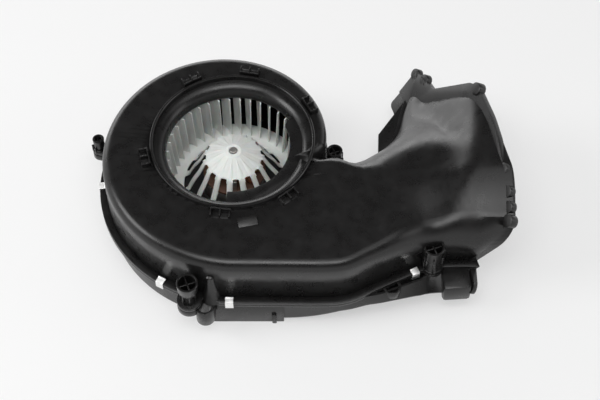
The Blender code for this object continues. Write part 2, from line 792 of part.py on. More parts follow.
def lower_shell():
    top = SPLIT_HEIGHT - GAP / 2
    outer = housing_form(lower_stations(1), 0.0, top - SINK, floor_height, -1, OUTER_ARC)
    cavity = housing_form(lower_stations(0), WALL, top + 5, floor_height, -1, CAVITY_ARC)
    body = shell_cut(outer, skirt_pocket(top), clip_notch(top))
    body = shell_union(
        body, prism(ledge_loop(upper_stations()), top - LEDGE_THICKNESS, top),
        outlet_plate(LOWER_OUTLINE, -50, top - SINK / 2),
        prism(GUSSET, top - LEDGE_THICKNESS, top - SINK / 2),
        block(CORNER_BOX_SIZE, CORNER_BOX_PLACE, CORNER_BOX_TURN), block(FOOT_SIZE, FOOT_PLACE))
    x, y, z = FOOT_PLACE
    rib = (x + FOOT_SIZE[0] / 2, y - FOOT_SIZE[1] / 2, z)
    body = shell_union(body, block(FOOT_RIB, rib))
    for x, y, _, radius, facing in TOWERS:
        body = shell_union(body, tower_tab(x, y, radius, facing, top - 8, top - SINK / 2))
    for place in CATCHES:
        body = shell_union(body, catch(*place))
    for x, y, _ in CATCHES:
        body = shell_cut(body, cylinder(CATCH_HOLE, top - CATCH_HEIGHT - 1, top + 1, (x, y), 16))
    body = shell_cut(body, cavity, cylinder(SEAT_RADIUS + 1.2, -1, WALL + 1, segments=INLET_SEGMENTS))
    body = shell_union(body, motor_seat())
    roof = SEAT_HEIGHT + WALL
    for place in screw_places():
        body = shell_union(body, cylinder(BOSS_RADIUS, roof - 0.5, roof + BOSS_HEIGHT, place, 16))
    drill = (SCREW_SHANK_RADIUS + GAP, SEAT_HEIGHT - 1, SEAT_HEIGHT + SCREW_LENGTH - 2)
    for place in screw_places():
        body = shell_cut(body, cylinder(*drill, place, 12))
    return shell_cut(body, outlet_slab(0, 300))


def split_clip(edge, angle):
    """A spring steel clip that wraps both split flanges, at a point of their edge and facing an angle."""
    low = SPLIT_HEIGHT - GAP / 2 - LEDGE_THICKNESS - GAP
    high = SPLIT_HEIGHT + GAP / 2 + LEDGE_THICKNESS + GAP
    back = -CLIP_DEPTH
    sheet = CLIP_SHEET
    profile = (
        (back, low), (0, low), (0, high), (back, high), (back - 0.6, high + 1.2),
        (back + 0.4, high + sheet + 0.9), (back + 1.4, high + sheet), (sheet, high + sheet),
        (sheet, low - sheet), (back + 1.4, low - sheet), (back + 0.4, low - sheet - 0.9), (back - 0.6, low - 1.2),
    )
    outward = polar(1.0, angle)
    across = Vector((-outward.y, outward.x)) * CLIP_WIDTH
    start = edge + outward * GAP - across / 2
    bm = bmesh.new()
    face = bm.faces.new([bm.verts.new((*(start + outward * r), z)) for r, z in profile])
    moved = bmesh.ops.extrude_face_region(bm, geom=[face])["geom"]
    bmesh.ops.translate(bm, verts=[g for g in moved if isinstance(g, bmesh.types.BMVert)], vec=(*across, 0))
    bmesh.ops.recalc_face_normals(bm, faces=bm.faces)
    return bm


def clip_places():
    """Point on the split flange's edge and facing angle of each clip."""
    places = [(polar(scroll_radius(a) + LEDGE_WIDTH, a), a) for a in CLIP_ANGLES]
    x, y, facing = DUCT_CLIP
    return places + [(Vector((x, y)) + polar(LEDGE_WIDTH, facing), facing)]


def motor_carrier():
    """The moulded base that holds the motor in its pocket and closes the housing from below."""
    flange_low = SEAT_HEIGHT - GAP - CARRIER_FLANGE_THICKNESS
    flange_high = SEAT_HEIGHT - GAP
    flange_radius = SEAT_RADIUS - GAP - 1
    sleeve = SEAT_HOLE_RADIUS - GAP - 0.7
    deck = CARRIER_DECK_HEIGHT
    pocket = POCKET_RADIUS
    profile = (
        (0, 0), (pocket + WALL, 0), (pocket + WALL, deck - WALL), (sleeve - WALL, deck - WALL),
        (sleeve - WALL, flange_low), (flange_radius, flange_low), (flange_radius, flange_high),
        (sleeve, flange_high), (sleeve, deck), (pocket, deck), (pocket, WALL), (0, WALL),
    )
    body = disc(profile, 32)
    long = sleeve - pocket - WALL
    for i in range(CARRIER_RIBS):
        angle = SOCKET_ANGLE + 30 + 360 / CARRIER_RIBS * i
        middle = polar((sleeve + pocket) / 2, angle)
        body = union(body, block((long, 2.0, deck - flange_low - 3), (*middle, (deck + flange_low + 1) / 2), angle))
    for place in screw_places():
        body = cut(body, cylinder(SCREW_SHANK_RADIUS + GAP, flange_low - 1, flange_high + 1, place, 12))
    return body


def carrier_screw(place):
    """A screw with its head under the carrier flange."""
    seat = SEAT_HEIGHT - GAP - CARRIER_FLANGE_THICKNESS - GAP
    shank = SCREW_SHANK_RADIUS
    return disc(
        ((0, seat - SCREW_HEAD_HEIGHT), (SCREW_HEAD_RADIUS - 0.6, seat - SCREW_HEAD_HEIGHT),
         (SCREW_HEAD_RADIUS, seat - 0.6), (SCREW_HEAD_RADIUS, seat), (shank, seat),
         (shank, seat + SCREW_LENGTH - 2), (0, seat + SCREW_LENGTH)), 16, place)


def rubber_mount(angle):
    """A rubber block that wraps the lower corner of the motor can."""
    low = WALL + GAP
    inner, outer = CAN_RADIUS + GAP, POCKET_RADIUS - GAP
    return ring(
        ((outer, low), (outer, CARRIER_DECK_HEIGHT - 1), (inner, CARRIER_DECK_HEIGHT - 1),
         (inner, CAN_BOTTOM - GAP), (CAN_RADIUS - 8, CAN_BOTTOM - GAP), (CAN_RADIUS - 8, low)),
        6, angle - 20, 40)


def motor_can():
    """The drawn steel can, open at its top, with the seat of the lower bearing in its floor."""
    outer, inner = CAN_RADIUS, CAN_RADIUS - CAN_SHEET
    seat = BEARING_RADIUS + GAP
    floor = CAN_BOTTOM + CAN_SHEET
    return disc(
        ((0, CAN_BOTTOM), (outer - 2, CAN_BOTTOM), (outer, CAN_BOTTOM + 2), (outer, CAN_BOTTOM + CAN_HEIGHT),
         (inner, CAN_BOTTOM + CAN_HEIGHT), (inner, floor), (seat + CAN_SHEET, floor),
         (seat + CAN_SHEET, floor + BEARING_HEIGHT), (seat, floor + BEARING_HEIGHT), (seat, floor), (0, floor)), 32)


def bearing(bottom):
    inner, outer = SHAFT_RADIUS + GAP, BEARING_RADIUS
    top = bottom + BEARING_HEIGHT
    return ring(
        ((inner, bottom), (outer - 0.6, bottom), (outer, bottom + 0.6), (outer, top - 0.6),
         (outer - 0.6, top), (inner, top)), 24)


def magnet(angle):
    outer = CAN_RADIUS - CAN_SHEET - GAP
    return ring(
        ((outer, CAN_BOTTOM + 6), (outer, CAN_BOTTOM + CAN_HEIGHT - 4),
         (outer - MAGNET_THICKNESS, CAN_BOTTOM + CAN_HEIGHT - 4), (outer - MAGNET_THICKNESS, CAN_BOTTOM + 6)),
        12, angle - MAGNET_SPAN / 2, MAGNET_SPAN)


def core_radius():
    return CAN_RADIUS - CAN_SHEET - GAP - MAGNET_THICKNESS - AIR_GAP


def armature_core():
    """The slotted stack of the armature."""
    radius = core_radius()
    root = 0.52 * radius
    loop = []
    half_slot = math.degrees(SLOT_WIDTH / 2 / radius)
    half_root = math.degrees(SLOT_WIDTH / 2 / root)
    pitch = 360 / CORE_SLOTS
    for i in range(CORE_SLOTS):
        middle = pitch * i
        loop += [polar(root, middle - half_root), polar(root, middle + half_root)]
        for share in (0, 0.5, 1):
            loop.append(polar(radius, middle + half_slot + (pitch - 2 * half_slot) * share))
    body = prism(loop, CORE_BOTTOM, CORE_BOTTOM + CORE_LENGTH)
    return cut(body, cylinder(SHAFT_RADIUS + GAP, CORE_BOTTOM - 1, CORE_BOTTOM + CORE_LENGTH + 1, segments=16))


def armature_winding():
    """The copper coils: a lobed ring of end turns at each end, joined by the wires in the slots."""
    radius = core_radius()
    root = 0.52 * radius
    inner, outer = BEARING_RADIUS + 2.6, radius - 2
    top = CORE_BOTTOM + CORE_LENGTH + GAP
    segments = CORE_SLOTS * 2

    def lobed(low, high):
        chamfer = 0.3 * (high - low)
        body = ring(
            ((inner, low), (outer, low), (outer, high - chamfer), (outer - chamfer, high), (inner, high)), segments)
        for vert in body.verts:
            angle = math.degrees(math.atan2(vert.co.y, vert.co.x))
            dip = 0.5 - 0.5 * math.cos(math.radians(angle * CORE_SLOTS))
            if vert.co.xy.length > inner + 1:
                vert.co.xy *= 1 - 0.05 * dip
        return body

    body = union(lobed(CORE_BOTTOM - GAP - 0.8 * WINDING_OVERHANG + 4.5, CORE_BOTTOM - GAP), lobed(top, top + WINDING_OVERHANG))
    bars = []
    long = 0.88 * radius - root - 0.6
    for i in range(CORE_SLOTS):
        angle = 360 / CORE_SLOTS * i
        middle = polar(root + 0.5 + long / 2, angle)
        height = CORE_LENGTH + 2 * GAP + 1
        bars.append(block((long, SLOT_WIDTH - 2 * GAP - 0.6, height), (*middle, CORE_BOTTOM + CORE_LENGTH / 2), angle))
    return union(body, merged(*bars))


def commutator():
    """The copper bars of the commutator, with grooves between them."""
    bottom = CORE_BOTTOM + CORE_LENGTH + GAP
    top = plate_top() + HOLDER_WALL + BRUSH_SIZE + 2.5
    loop = []
    pitch = 360 / COMMUTATOR_BARS
    for i in range(COMMUTATOR_BARS):
        loop += [polar(COMMUTATOR_RADIUS - 0.5, pitch * i - 2), polar(COMMUTATOR_RADIUS - 0.5, pitch * i + 2)]
        loop += [polar(COMMUTATOR_RADIUS, pitch * i + 4), polar(COMMUTATOR_RADIUS, pitch * (i + 1) - 4)]
    body = prism(loop, bottom, top)
    return cut(body, cylinder(SHAFT_RADIUS + GAP, bottom - 1, top + 1, segments=16))


def plate_bottom():
    return CAN_BOTTOM + CAN_HEIGHT + GAP


def plate_top():
    return plate_bottom() + BRUSH_PLATE_THICKNESS


def brush_plate():
    """The ring that carries the brush gear on the rim of the can."""
    low, high = plate_bottom(), plate_top()
    outer = CAN_RADIUS + 1.0
    body = ring(
        ((COMMUTATOR_RADIUS + 2.5, low), (outer, low), (outer, high), (COMMUTATOR_RADIUS + 2.5, high)), 32)
    return body


def holder_places():
    """Inner end and outer end of a brush holder, measured from the axis."""
    inner = COMMUTATOR_RADIUS + 2.0
    return inner, inner + HOLDER_LENGTH


def brush_holder(side):
    """A square tube with a closed outer end."""
    inner, outer = holder_places()
    hole = BRUSH_SIZE + 2 * GAP
    wide = hole + 2 * HOLDER_WALL
    low = plate_top() + GAP
    middle = side * (inner + outer) / 2
    body = block((outer - inner, wide, wide), (middle, 0, low + wide / 2))
    drill = block((outer - inner, hole, hole), (middle - side * HOLDER_WALL, 0, low + wide / 2))
    return cut(body, drill)


def brush_height():
    return plate_top() + GAP + HOLDER_WALL + GAP + BRUSH_SIZE / 2


def carbon_brush(side):
    start = COMMUTATOR_RADIUS + GAP
    return block(
        (BRUSH_LENGTH, BRUSH_SIZE, BRUSH_SIZE), (side * (start + BRUSH_LENGTH / 2), 0, brush_height()))


def brush_spring(side):
    """A coil spring between a brush and the closed end of its holder."""
    start = COMMUTATOR_RADIUS + GAP + BRUSH_LENGTH + GAP
    end = holder_places()[1] - HOLDER_WALL - GAP
    radius = BRUSH_SIZE / 2 - 0.7
    wire = SPRING_WIRE
    steps, sides = SPRING_TURNS * 9, 4
    bm = bmesh.new()
    loops = []
    for i in range(steps + 1):
        turn = math.tau * SPRING_TURNS * i / steps
        along = start + wire + (end - start - 2 * wire) * i / steps
        loop = []
        for k in range(sides):
            around = math.tau * k / sides
            reach = radius + wire * math.cos(around)
            x = side * (along + wire * math.sin(around))
            loop.append(bm.verts.new((x, reach * math.cos(turn), brush_height() + reach * math.sin(turn))))
        loops.append(loop)
    for a, b in zip(loops, loops[1:]):
        for k in range(sides):
            j = (k + 1) % sides
            bm.faces.new((a[k], a[j], b[j], b[k]))
    bm.faces.new(loops[0])
    bm.faces.new(loops[-1])
    bmesh.ops.recalc_face_normals(bm, faces=bm.faces)
    return bm


def bridge_height():
    """Underside of the upper bearing's seat."""
    return plate_top() + GAP + BRUSH_SIZE + 2 * (GAP + HOLDER_WALL) + 3.0


def bearing_bridge():
    """The steel strap that carries the upper bearing over the brush gear."""
    low = bridge_height()
    high = low + BEARING_HEIGHT - 2
    seat = BEARING_RADIUS + GAP
    body = ring(((seat, low), (seat + 2.5, low), (seat + 2.5, high), (seat, high)), 24)
    reach = CAN_RADIUS - 4
    foot = plate_top() + GAP
    for side in (-1, 1):
        arm = block((7.0, reach - seat, 1.6), (0, side * (reach + seat + 1) / 2, low + 1.2))
        leg = block((7.0, 1.6, low + 2 - foot), (0, side * reach, (low + 2 + foot) / 2))
        body = union(body, arm, leg)
    return body


def choke_coil(side):
    """A small wound choke that lies on the brush plate."""
    low = plate_top() + GAP
    steps = 6
    profile = [(0.0, 0.0)]
    for i in range(steps):
        profile += [(2.4, i * 1.8), (2.9, i * 1.8 + 0.9)]
    profile += [(2.4, steps * 1.8), (0.0, steps * 1.8)]
    bm = disc(profile, 12)
    bmesh.ops.rotate(bm, verts=bm.verts, matrix=Matrix.Rotation(math.radians(90), 3, "Y"))
    bmesh.ops.translate(bm, verts=bm.verts, vec=(-steps * 0.9, 0, 0))
    bmesh.ops.rotate(bm, verts=bm.verts, matrix=Matrix.Rotation(math.radians(side * 45), 3, "Z"))
    centre = polar(21.5, 90 - side * 45)
    bmesh.ops.translate(bm, verts=bm.verts, vec=(side * centre.x, centre.y if side > 0 else -centre.y, low + 2.9))
    return bm


def motor_shaft():
    bottom = CAN_BOTTOM + CAN_SHEET + GAP
    r = SHAFT_RADIUS
    return disc(
        ((0, bottom), (r - 0.5, bottom), (r, bottom + 0.5), (r, SHAFT_TOP - 0.6), (r - 0.6, SHAFT_TOP), (0, SHAFT_TOP)), 24)


def blade(angle):
    """One forward curved blade, from the backplate to just under the throat."""
    steps = 3
    inner, outer = BLADE_INNER_RADIUS, WHEEL_RADIUS - 1.0
    front, back = [], []
    for i in range(steps + 1):
        share = i / steps
        radius = inner + (outer - inner) * share
        lead = BLADE_ADVANCE * share ** 1.8
        half = 0.5 * BLADE_THICKNESS * (1.25 - 0.75 * share)
        side = math.degrees(half / radius)
        front.append(polar(radius, angle + lead + side))
        back.append(polar(radius, angle + lead - side))
    return prism(front + back[::-1], WHEEL_BOTTOM + 0.5, WHEEL_TOP - 0.5)


def fan_wheel():
    """The moulded wheel: backplate, spoked dome with its hub, blades and rim band in one piece."""
    bottom = WHEEL_BOTTOM
    hub_top = bottom + DOME[-1][1]
    skin = [(WHEEL_RADIUS, bottom + BACKPLATE_THICKNESS)]
    skin += [(r, bottom + z + BACKPLATE_THICKNESS) for r, z in DOME]
    under = [(r - 0.5 * DOME_THICKNESS, bottom + z - 0.6) for r, z in DOME[1:-1]]
    profile = [(WHEEL_RADIUS, bottom)] + skin
    profile += [(SHAFT_RADIUS + GAP, hub_top + BACKPLATE_THICKNESS), (SHAFT_RADIUS + GAP, hub_top - 9)]
    profile += [(HUB_RADIUS, hub_top - 9), (HUB_RADIUS, hub_top - 1.5)] + under[::-1]
    profile += [(BLADE_INNER_RADIUS - 2, bottom)]
    body = ring(profile, 3 * WINDOW_COUNT)
    windows = []
    for i in range(WINDOW_COUNT):
        middle = 360 / WINDOW_COUNT * (i + 0.5)
        near, far = WINDOW_INNER_RADIUS, WINDOW_OUTER_RADIUS
        half_near = math.degrees((math.pi * near / WINDOW_COUNT - SPOKE_WIDTH / 2) / near)
        half_far = math.degrees((math.pi * far / WINDOW_COUNT - SPOKE_WIDTH / 2) / far)
        loop = [polar(near + 3, middle - half_near), polar(near, middle - 0.5 * half_near),
                polar(near, middle + 0.5 * half_near), polar(near + 3, middle + half_near),
                polar(far - 3, middle + half_far), polar(far, middle + 0.7 * half_far),
                polar(far, middle - 0.7 * half_far), polar(far - 3, middle - half_far)]
        windows.append(prism(loop[::-1], bottom - 2, WHEEL_TOP + 4))
    body = cut(body, merged(*windows))
    blades = merged(*[blade(360 / BLADE_COUNT * i) for i in range(BLADE_COUNT)])
    body = union(body, blades)
    band_inner = WHEEL_RADIUS - 1.0 - RIM_BAND_THICKNESS / 2
    band = ring(
        ((band_inner, WHEEL_TOP - RIM_BAND_HEIGHT), (band_inner + RIM_BAND_THICKNESS, WHEEL_TOP - RIM_BAND_HEIGHT),
         (band_inner + RIM_BAND_THICKNESS, WHEEL_TOP), (band_inner, WHEEL_TOP)), 48)
    return union(body, band)


def socket_centre():
    return polar(SOCKET_RADIUS, SOCKET_ANGLE)


def connector_socket():
    """The socket under the carrier deck, open downwards."""
    wide, deep, high = SOCKET_SIZE
    top = CARRIER_DECK_HEIGHT - WALL - GAP
    centre = socket_centre()
    turn = SOCKET_ANGLE - 90
    body = block((wide, deep, high), (*centre, top - high / 2), turn)
    body = cut(body, block(
        (wide - 2 * SOCKET_WALL, deep - 2 * SOCKET_WALL, high), (*centre, top - high / 2 - 4), turn))
    for i in range(3):
        place = centre + polar((i - 1) * TERMINAL_PITCH, turn)
        length, thick, _ = TERMINAL_SIZE
        body = cut(body, block((length + 2 * GAP, thick + 2 * GAP, 6), (*place, top - 2.5), turn))
    return body


def terminal(index):
    """A blade terminal that stands in the socket."""
    length, thick, high = TERMINAL_SIZE
    top = CARRIER_DECK_HEIGHT - WALL - GAP - 0.2
    turn = SOCKET_ANGLE - 90
    place = socket_centre() + polar((index - 1) * TERMINAL_PITCH, turn)
    return block((length, thick, high), (*place, top - high / 2), turn)


def main():
    for obj in list(bpy.data.objects):
        bpy.data.objects.remove(obj)

    rotor = bpy.data.objects.new("rotor_axis", None)
    bpy.context.scene.collection.objects.link(rotor)

    add("upper_shell", upper_shell(), "black_plastic")
    add("lower_shell", lower_shell(), "black_plastic")
    for i, (edge, facing) in enumerate(clip_places(), 1):
        add(f"joint_clip_{i}", split_clip(edge, facing), "spring_steel")

    add("motor_carrier", motor_carrier(), "carrier_plastic")
    for i, place in enumerate(screw_places(), 1):
        add(f"carrier_screw_{i}", carrier_screw(place), "motor_steel")
    for i in range(3):
        add(f"rubber_mount_{i + 1}", rubber_mount(90 + 120 * i), "rubber")
    add("connector_socket", connector_socket(), "socket_plastic")
    for i in range(3):
        add(f"terminal_{i + 1}", terminal(i), "brass")

    add("motor_can", motor_can(), "motor_steel")
    add("magnet_1", magnet(90), "ferrite")
    add("magnet_2", magnet(270), "ferrite")
    add("lower_bearing", bearing(CAN_BOTTOM + CAN_SHEET + GAP), "bearing_steel")
    add("upper_bearing", bearing(bridge_height() - 1), "bearing_steel")
    add("bearing_bridge", bearing_bridge(), "motor_steel")
    add("brush_plate", brush_plate(), "brush_plate_plastic")
    for i, side in enumerate((1, -1), 1):
        add(f"brush_holder_{i}", brush_holder(side), "brass")
        start = (side * (COMMUTATOR_RADIUS + GAP), 0.0, brush_height())
        add(f"carbon_brush_{i}", carbon_brush(side), "carbon", origin=start)
        add(f"brush_spring_{i}", brush_spring(side), "spring_steel")
        add(f"choke_coil_{i}", choke_coil(side), "copper")

    add("motor_shaft", motor_shaft(), "motor_steel", rotor)
    add("armature_core", armature_core(), "core_steel", rotor)
    add("armature_winding", armature_winding(), "copper", rotor)
    add("commutator", commutator(), "copper", rotor)
    add("fan_wheel", fan_wheel(), "wheel_plastic", rotor)


main()
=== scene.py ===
"""Looks of a car cabin blower motor: a black moulded volute housing with an off-white fan wheel.

Sizes are in millimetres. The workshop scales each finished mesh to metres when it makes its object,
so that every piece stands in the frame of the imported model: origin on the fan axis, +Z up.
"""

import json
import logging
import math
from dataclasses import dataclass, field
from enum import Enum
from typing import Optional, Sequence

import bmesh
import bpy
from bmesh.types import BMEdge, BMesh, BMFace, BMVert
from mathutils import Matrix, Vector

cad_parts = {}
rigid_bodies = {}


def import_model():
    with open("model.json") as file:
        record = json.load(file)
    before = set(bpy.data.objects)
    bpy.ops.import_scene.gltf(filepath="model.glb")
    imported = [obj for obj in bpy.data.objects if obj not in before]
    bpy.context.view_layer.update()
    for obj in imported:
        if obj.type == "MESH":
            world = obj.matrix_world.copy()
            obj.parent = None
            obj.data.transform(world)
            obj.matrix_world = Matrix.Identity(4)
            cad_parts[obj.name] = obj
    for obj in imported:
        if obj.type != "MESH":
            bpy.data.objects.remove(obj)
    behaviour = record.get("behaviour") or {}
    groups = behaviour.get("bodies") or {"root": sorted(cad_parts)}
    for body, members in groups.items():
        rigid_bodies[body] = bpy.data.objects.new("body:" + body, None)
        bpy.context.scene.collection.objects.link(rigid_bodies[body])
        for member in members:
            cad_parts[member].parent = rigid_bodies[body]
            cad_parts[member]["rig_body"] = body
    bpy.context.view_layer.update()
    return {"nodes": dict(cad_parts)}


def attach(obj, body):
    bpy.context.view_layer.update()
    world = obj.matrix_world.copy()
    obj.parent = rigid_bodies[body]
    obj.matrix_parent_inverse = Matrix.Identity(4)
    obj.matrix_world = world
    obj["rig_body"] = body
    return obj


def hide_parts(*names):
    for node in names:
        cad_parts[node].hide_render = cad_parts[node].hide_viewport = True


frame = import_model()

MM = 0.001
Pair = tuple[float, float]
Colour = tuple[float, float, float]
log = logging.getLogger("blower")


def polar(radius: float, degrees: float) -> Vector:
    """The plan point at a radius and an angle."""
    return Vector((radius * math.cos(math.radians(degrees)), radius * math.sin(math.radians(degrees))))


def ease(t: float) -> float:
    """Smooth step from 0 to 1."""
    t = min(max(t, 0.0), 1.0)
    return t * t * (3 - 2 * t)


def soft_max(a: float, b: float, blend: float) -> float:
    """The larger of two heights, with their meeting line rounded over blend."""
    h = max(blend - abs(a - b), 0.0) / blend
    return max(a, b) + h * h * blend / 4


def reading(stations: Sequence[Pair], value: float) -> float:
    """Linear reading of a list of (position, reading) pairs.

    Args:
        stations: The pairs, in rising order of position.
        value: The position to read at.

    Returns:
        The reading, held level past both ends.
    """
    if value <= stations[0][0]:
        return stations[0][1]
    for (x0, y0), (x1, y1) in zip(stations, stations[1:]):
        if value <= x1:
            return y0 + (y1 - y0) * (value - x0) / (x1 - x0)
    return stations[-1][1]


def smooth_curve(points: Sequence[Pair], step: float) -> list[Vector]:
    """A Catmull-Rom curve through points.

    Args:
        points: The points that it passes through.
        step: The distance between the points that are returned.

    Returns:
        The points of the curve, without the last one.
    """
    knots = [Vector(p) for p in points]
    found = []
    for i in range(len(knots) - 1):
        p0, p1 = knots[max(i - 1, 0)], knots[i]
        p2, p3 = knots[i + 1], knots[min(i + 2, len(knots) - 1)]
        count = max(1, round((p2 - p1).length / step))
        for k in range(count):
            t = k / count
            found.append(
                0.5 * (2 * p1 + (p2 - p0) * t + (2 * p0 - 5 * p1 + 4 * p2 - p3) * t * t
                       + (3 * p1 - p0 - 3 * p2 + p3) * t ** 3)
            )
    return found


def offset_loop(points: Sequence[Vector], distances: Sequence[float]) -> list[Vector]:
    """A closed counter-clockwise loop moved outwards, with mitred corners.

    Args:
        points: The loop.
        distances: How far each point moves. Negative values move it inwards.

    Returns:
        The moved loop.
    """
    moved = []
    for i, point in enumerate(points):
        before = (point - points[i - 1]).normalized()
        after = (points[(i + 1) % len(points)] - point).normalized()
        n1, n2 = Vector((before.y, -before.x)), Vector((after.y, -after.x))
        moved.append(point + (n1 + n2) * (distances[i] / (1 + n1.dot(n2))))
    return moved


def new_verts(made: dict) -> list[BMVert]:
    """The vertices among what an operator made."""
    return [g for g in made["geom"] if isinstance(g, BMVert)]


def start_loop(bm: BMesh, places: Sequence[Vector]) -> list[BMVert]:
    """A closed chain of edges through the places."""
    loop = [bm.verts.new(p) for p in places]
    for i, vert in enumerate(loop):
        bm.edges.new((loop[i - 1], vert))
    return loop


def grow_loop(bm: BMesh, loop: list[BMVert], places: Sequence[Vector]) -> list[BMVert]:
    """Extrudes a closed chain of edges to new places.

    Args:
        bm: The mesh that holds the chain.
        loop: The chain's vertices, in order.
        places: Where each vertex of the new chain goes.

    Returns:
        The vertices of the new chain, in the same order.
    """
    edges = [bm.edges.get((loop[i - 1], v)) for i, v in enumerate(loop)]
    made = new_verts(bmesh.ops.extrude_edge_only(bm, edges=edges))
    twin = {tuple(v.co): v for v in made}
    grown = [twin[tuple(v.co)] for v in loop]
    for vert, place in zip(grown, places):
        vert.co = place
    return grown


def sharp_edges(bm: BMesh, angle: float = 30.0) -> list[BMEdge]:
    """Edges between two faces that meet at more than an angle."""
    limit = math.radians(angle)
    return [e for e in bm.edges if len(e.link_faces) == 2 and abs(e.calc_face_angle(0.0)) > limit]


def round_edges(bm: BMesh, width: float, segments: int = 2, edges: Optional[list[BMEdge]] = None) -> None:
    """Bevels the given edges, or every sharp one.

    Args:
        bm: The mesh.
        width: Width of the bevel.
        segments: Number of faces across it.
        edges: The edges, or None for all that are sharp.
    """
    bmesh.ops.bevel(
        bm, geom=sharp_edges(bm) if edges is None else edges, offset=width, offset_type="OFFSET",
        segments=segments, profile=0.5, affect="EDGES", material=-1, clamp_overlap=True,
    )


def outward(bm: BMesh) -> BMesh:
    """Merges doubles and turns every face outwards."""
    bmesh.ops.remove_doubles(bm, verts=bm.verts, dist=1e-4)
    bmesh.ops.recalc_face_normals(bm, faces=bm.faces)
    return bm


def block(size: Sequence[float], centre: Sequence[float], turn: float = 0.0, rounding: float = 0.5) -> BMesh:
    """A box with rounded edges.

    Args:
        size: Its three sizes.
        centre: Its centre.
        turn: Its turn about the vertical in degrees.
        rounding: Width of the bevel on its edges, or 0.

    Returns:
        The mesh.
    """
    place = Matrix.Translation(centre) @ Matrix.Rotation(math.radians(turn), 4, "Z")
    bm = bmesh.new()
    bmesh.ops.create_cube(bm, size=1.0, matrix=place @ Matrix.Diagonal((*size, 1.0)))
    if rounding:
        round_edges(bm, rounding)
    return bm


def prism(loop: Sequence[Vector], low: float, high: float, rounding: float = 0.0) -> BMesh:
    """An upright prism over a loop of plan points, with its edges rounded if asked."""
    bm = bmesh.new()
    face = bm.faces.new([bm.verts.new((p[0], p[1], low)) for p in loop])
    raised = bmesh.ops.extrude_face_region(bm, geom=[face])
    bmesh.ops.translate(bm, verts=new_verts(raised), vec=(0, 0, high - low))
    outward(bm)
    if rounding:
        round_edges(bm, rounding)
    return bm


def turned(
    profile: Sequence[Pair], segments: int = 96, start: float = 0.0, span: float = 360.0,
    centre: Pair = (0.0, 0.0), closed: bool = True,
) -> BMesh:
    """A profile of (radius, height) points turned about a vertical line.

    Args:
        profile: The points.
        segments: Number of steps round.
        start: Angle of the first step in degrees.
        span: Angle that it is turned through. Under 360 its ends are closed.
        centre: The line's place in plan.
        closed: Whether the profile's last point joins its first.

    Returns:
        The mesh, with its faces outwards.
    """
    bm = bmesh.new()
    chain = [bm.verts.new((*polar(r, start), z)) for r, z in profile]
    edges = [bm.edges.new((a, b)) for a, b in zip(chain, chain[1:])]
    if closed:
        edges.append(bm.edges.new((chain[-1], chain[0])))
    whole = span >= 360.0
    faces = [] if whole or not closed else [bm.faces.new(chain)]
    bmesh.ops.spin(
        bm, geom=chain + edges + faces, cent=(0, 0, 0), axis=(0, 0, 1), angle=math.radians(span),
        steps=segments, use_merge=whole,
    )
    outward(bm)
    bmesh.ops.translate(bm, verts=bm.verts, vec=(*centre, 0.0))
    return bm


def gathered(*parts: BMesh) -> BMesh:
    """Several meshes in one, without joining their surfaces."""
    whole = bmesh.new()
    for part in parts:
        mesh = bpy.data.meshes.new("part")
        part.to_mesh(mesh)
        part.free()
        whole.from_mesh(mesh)
        bpy.data.meshes.remove(mesh)
    return whole


class Operation(Enum):
    """What a Boolean does with its two meshes."""

    UNION = "UNION"
    CUT = "DIFFERENCE"
    COMMON = "INTERSECT"


def combined(body: BMesh, tool: BMesh, operation: Operation) -> BMesh:
    """The union, difference or common part of two closed meshes.

    Args:
        body: The mesh that is kept.
        tool: The mesh that joins or cuts it.
        operation: What is done.

    Returns:
        A new mesh. Both operands are freed.
    """
    objects = []
    for bm in (body, tool):
        mesh = bpy.data.meshes.new("operand")
        bm.to_mesh(mesh)
        bm.free()
        objects.append(bpy.data.objects.new("operand", mesh))
        bpy.context.scene.collection.objects.link(objects[-1])
    modifier = objects[0].modifiers.new("combine", "BOOLEAN")
    modifier.operation = operation.value
    modifier.object = objects[1]
    modifier.solver = "MANIFOLD"
    graph = bpy.context.evaluated_depsgraph_get()
    result = bpy.data.meshes.new_from_object(objects[0].evaluated_get(graph))
    joined = bmesh.new()
    joined.from_mesh(result)
    for obj in objects:
        mesh = obj.data
        bpy.data.objects.remove(obj)
        bpy.data.meshes.remove(mesh)
    bpy.data.meshes.remove(result)
    return joined


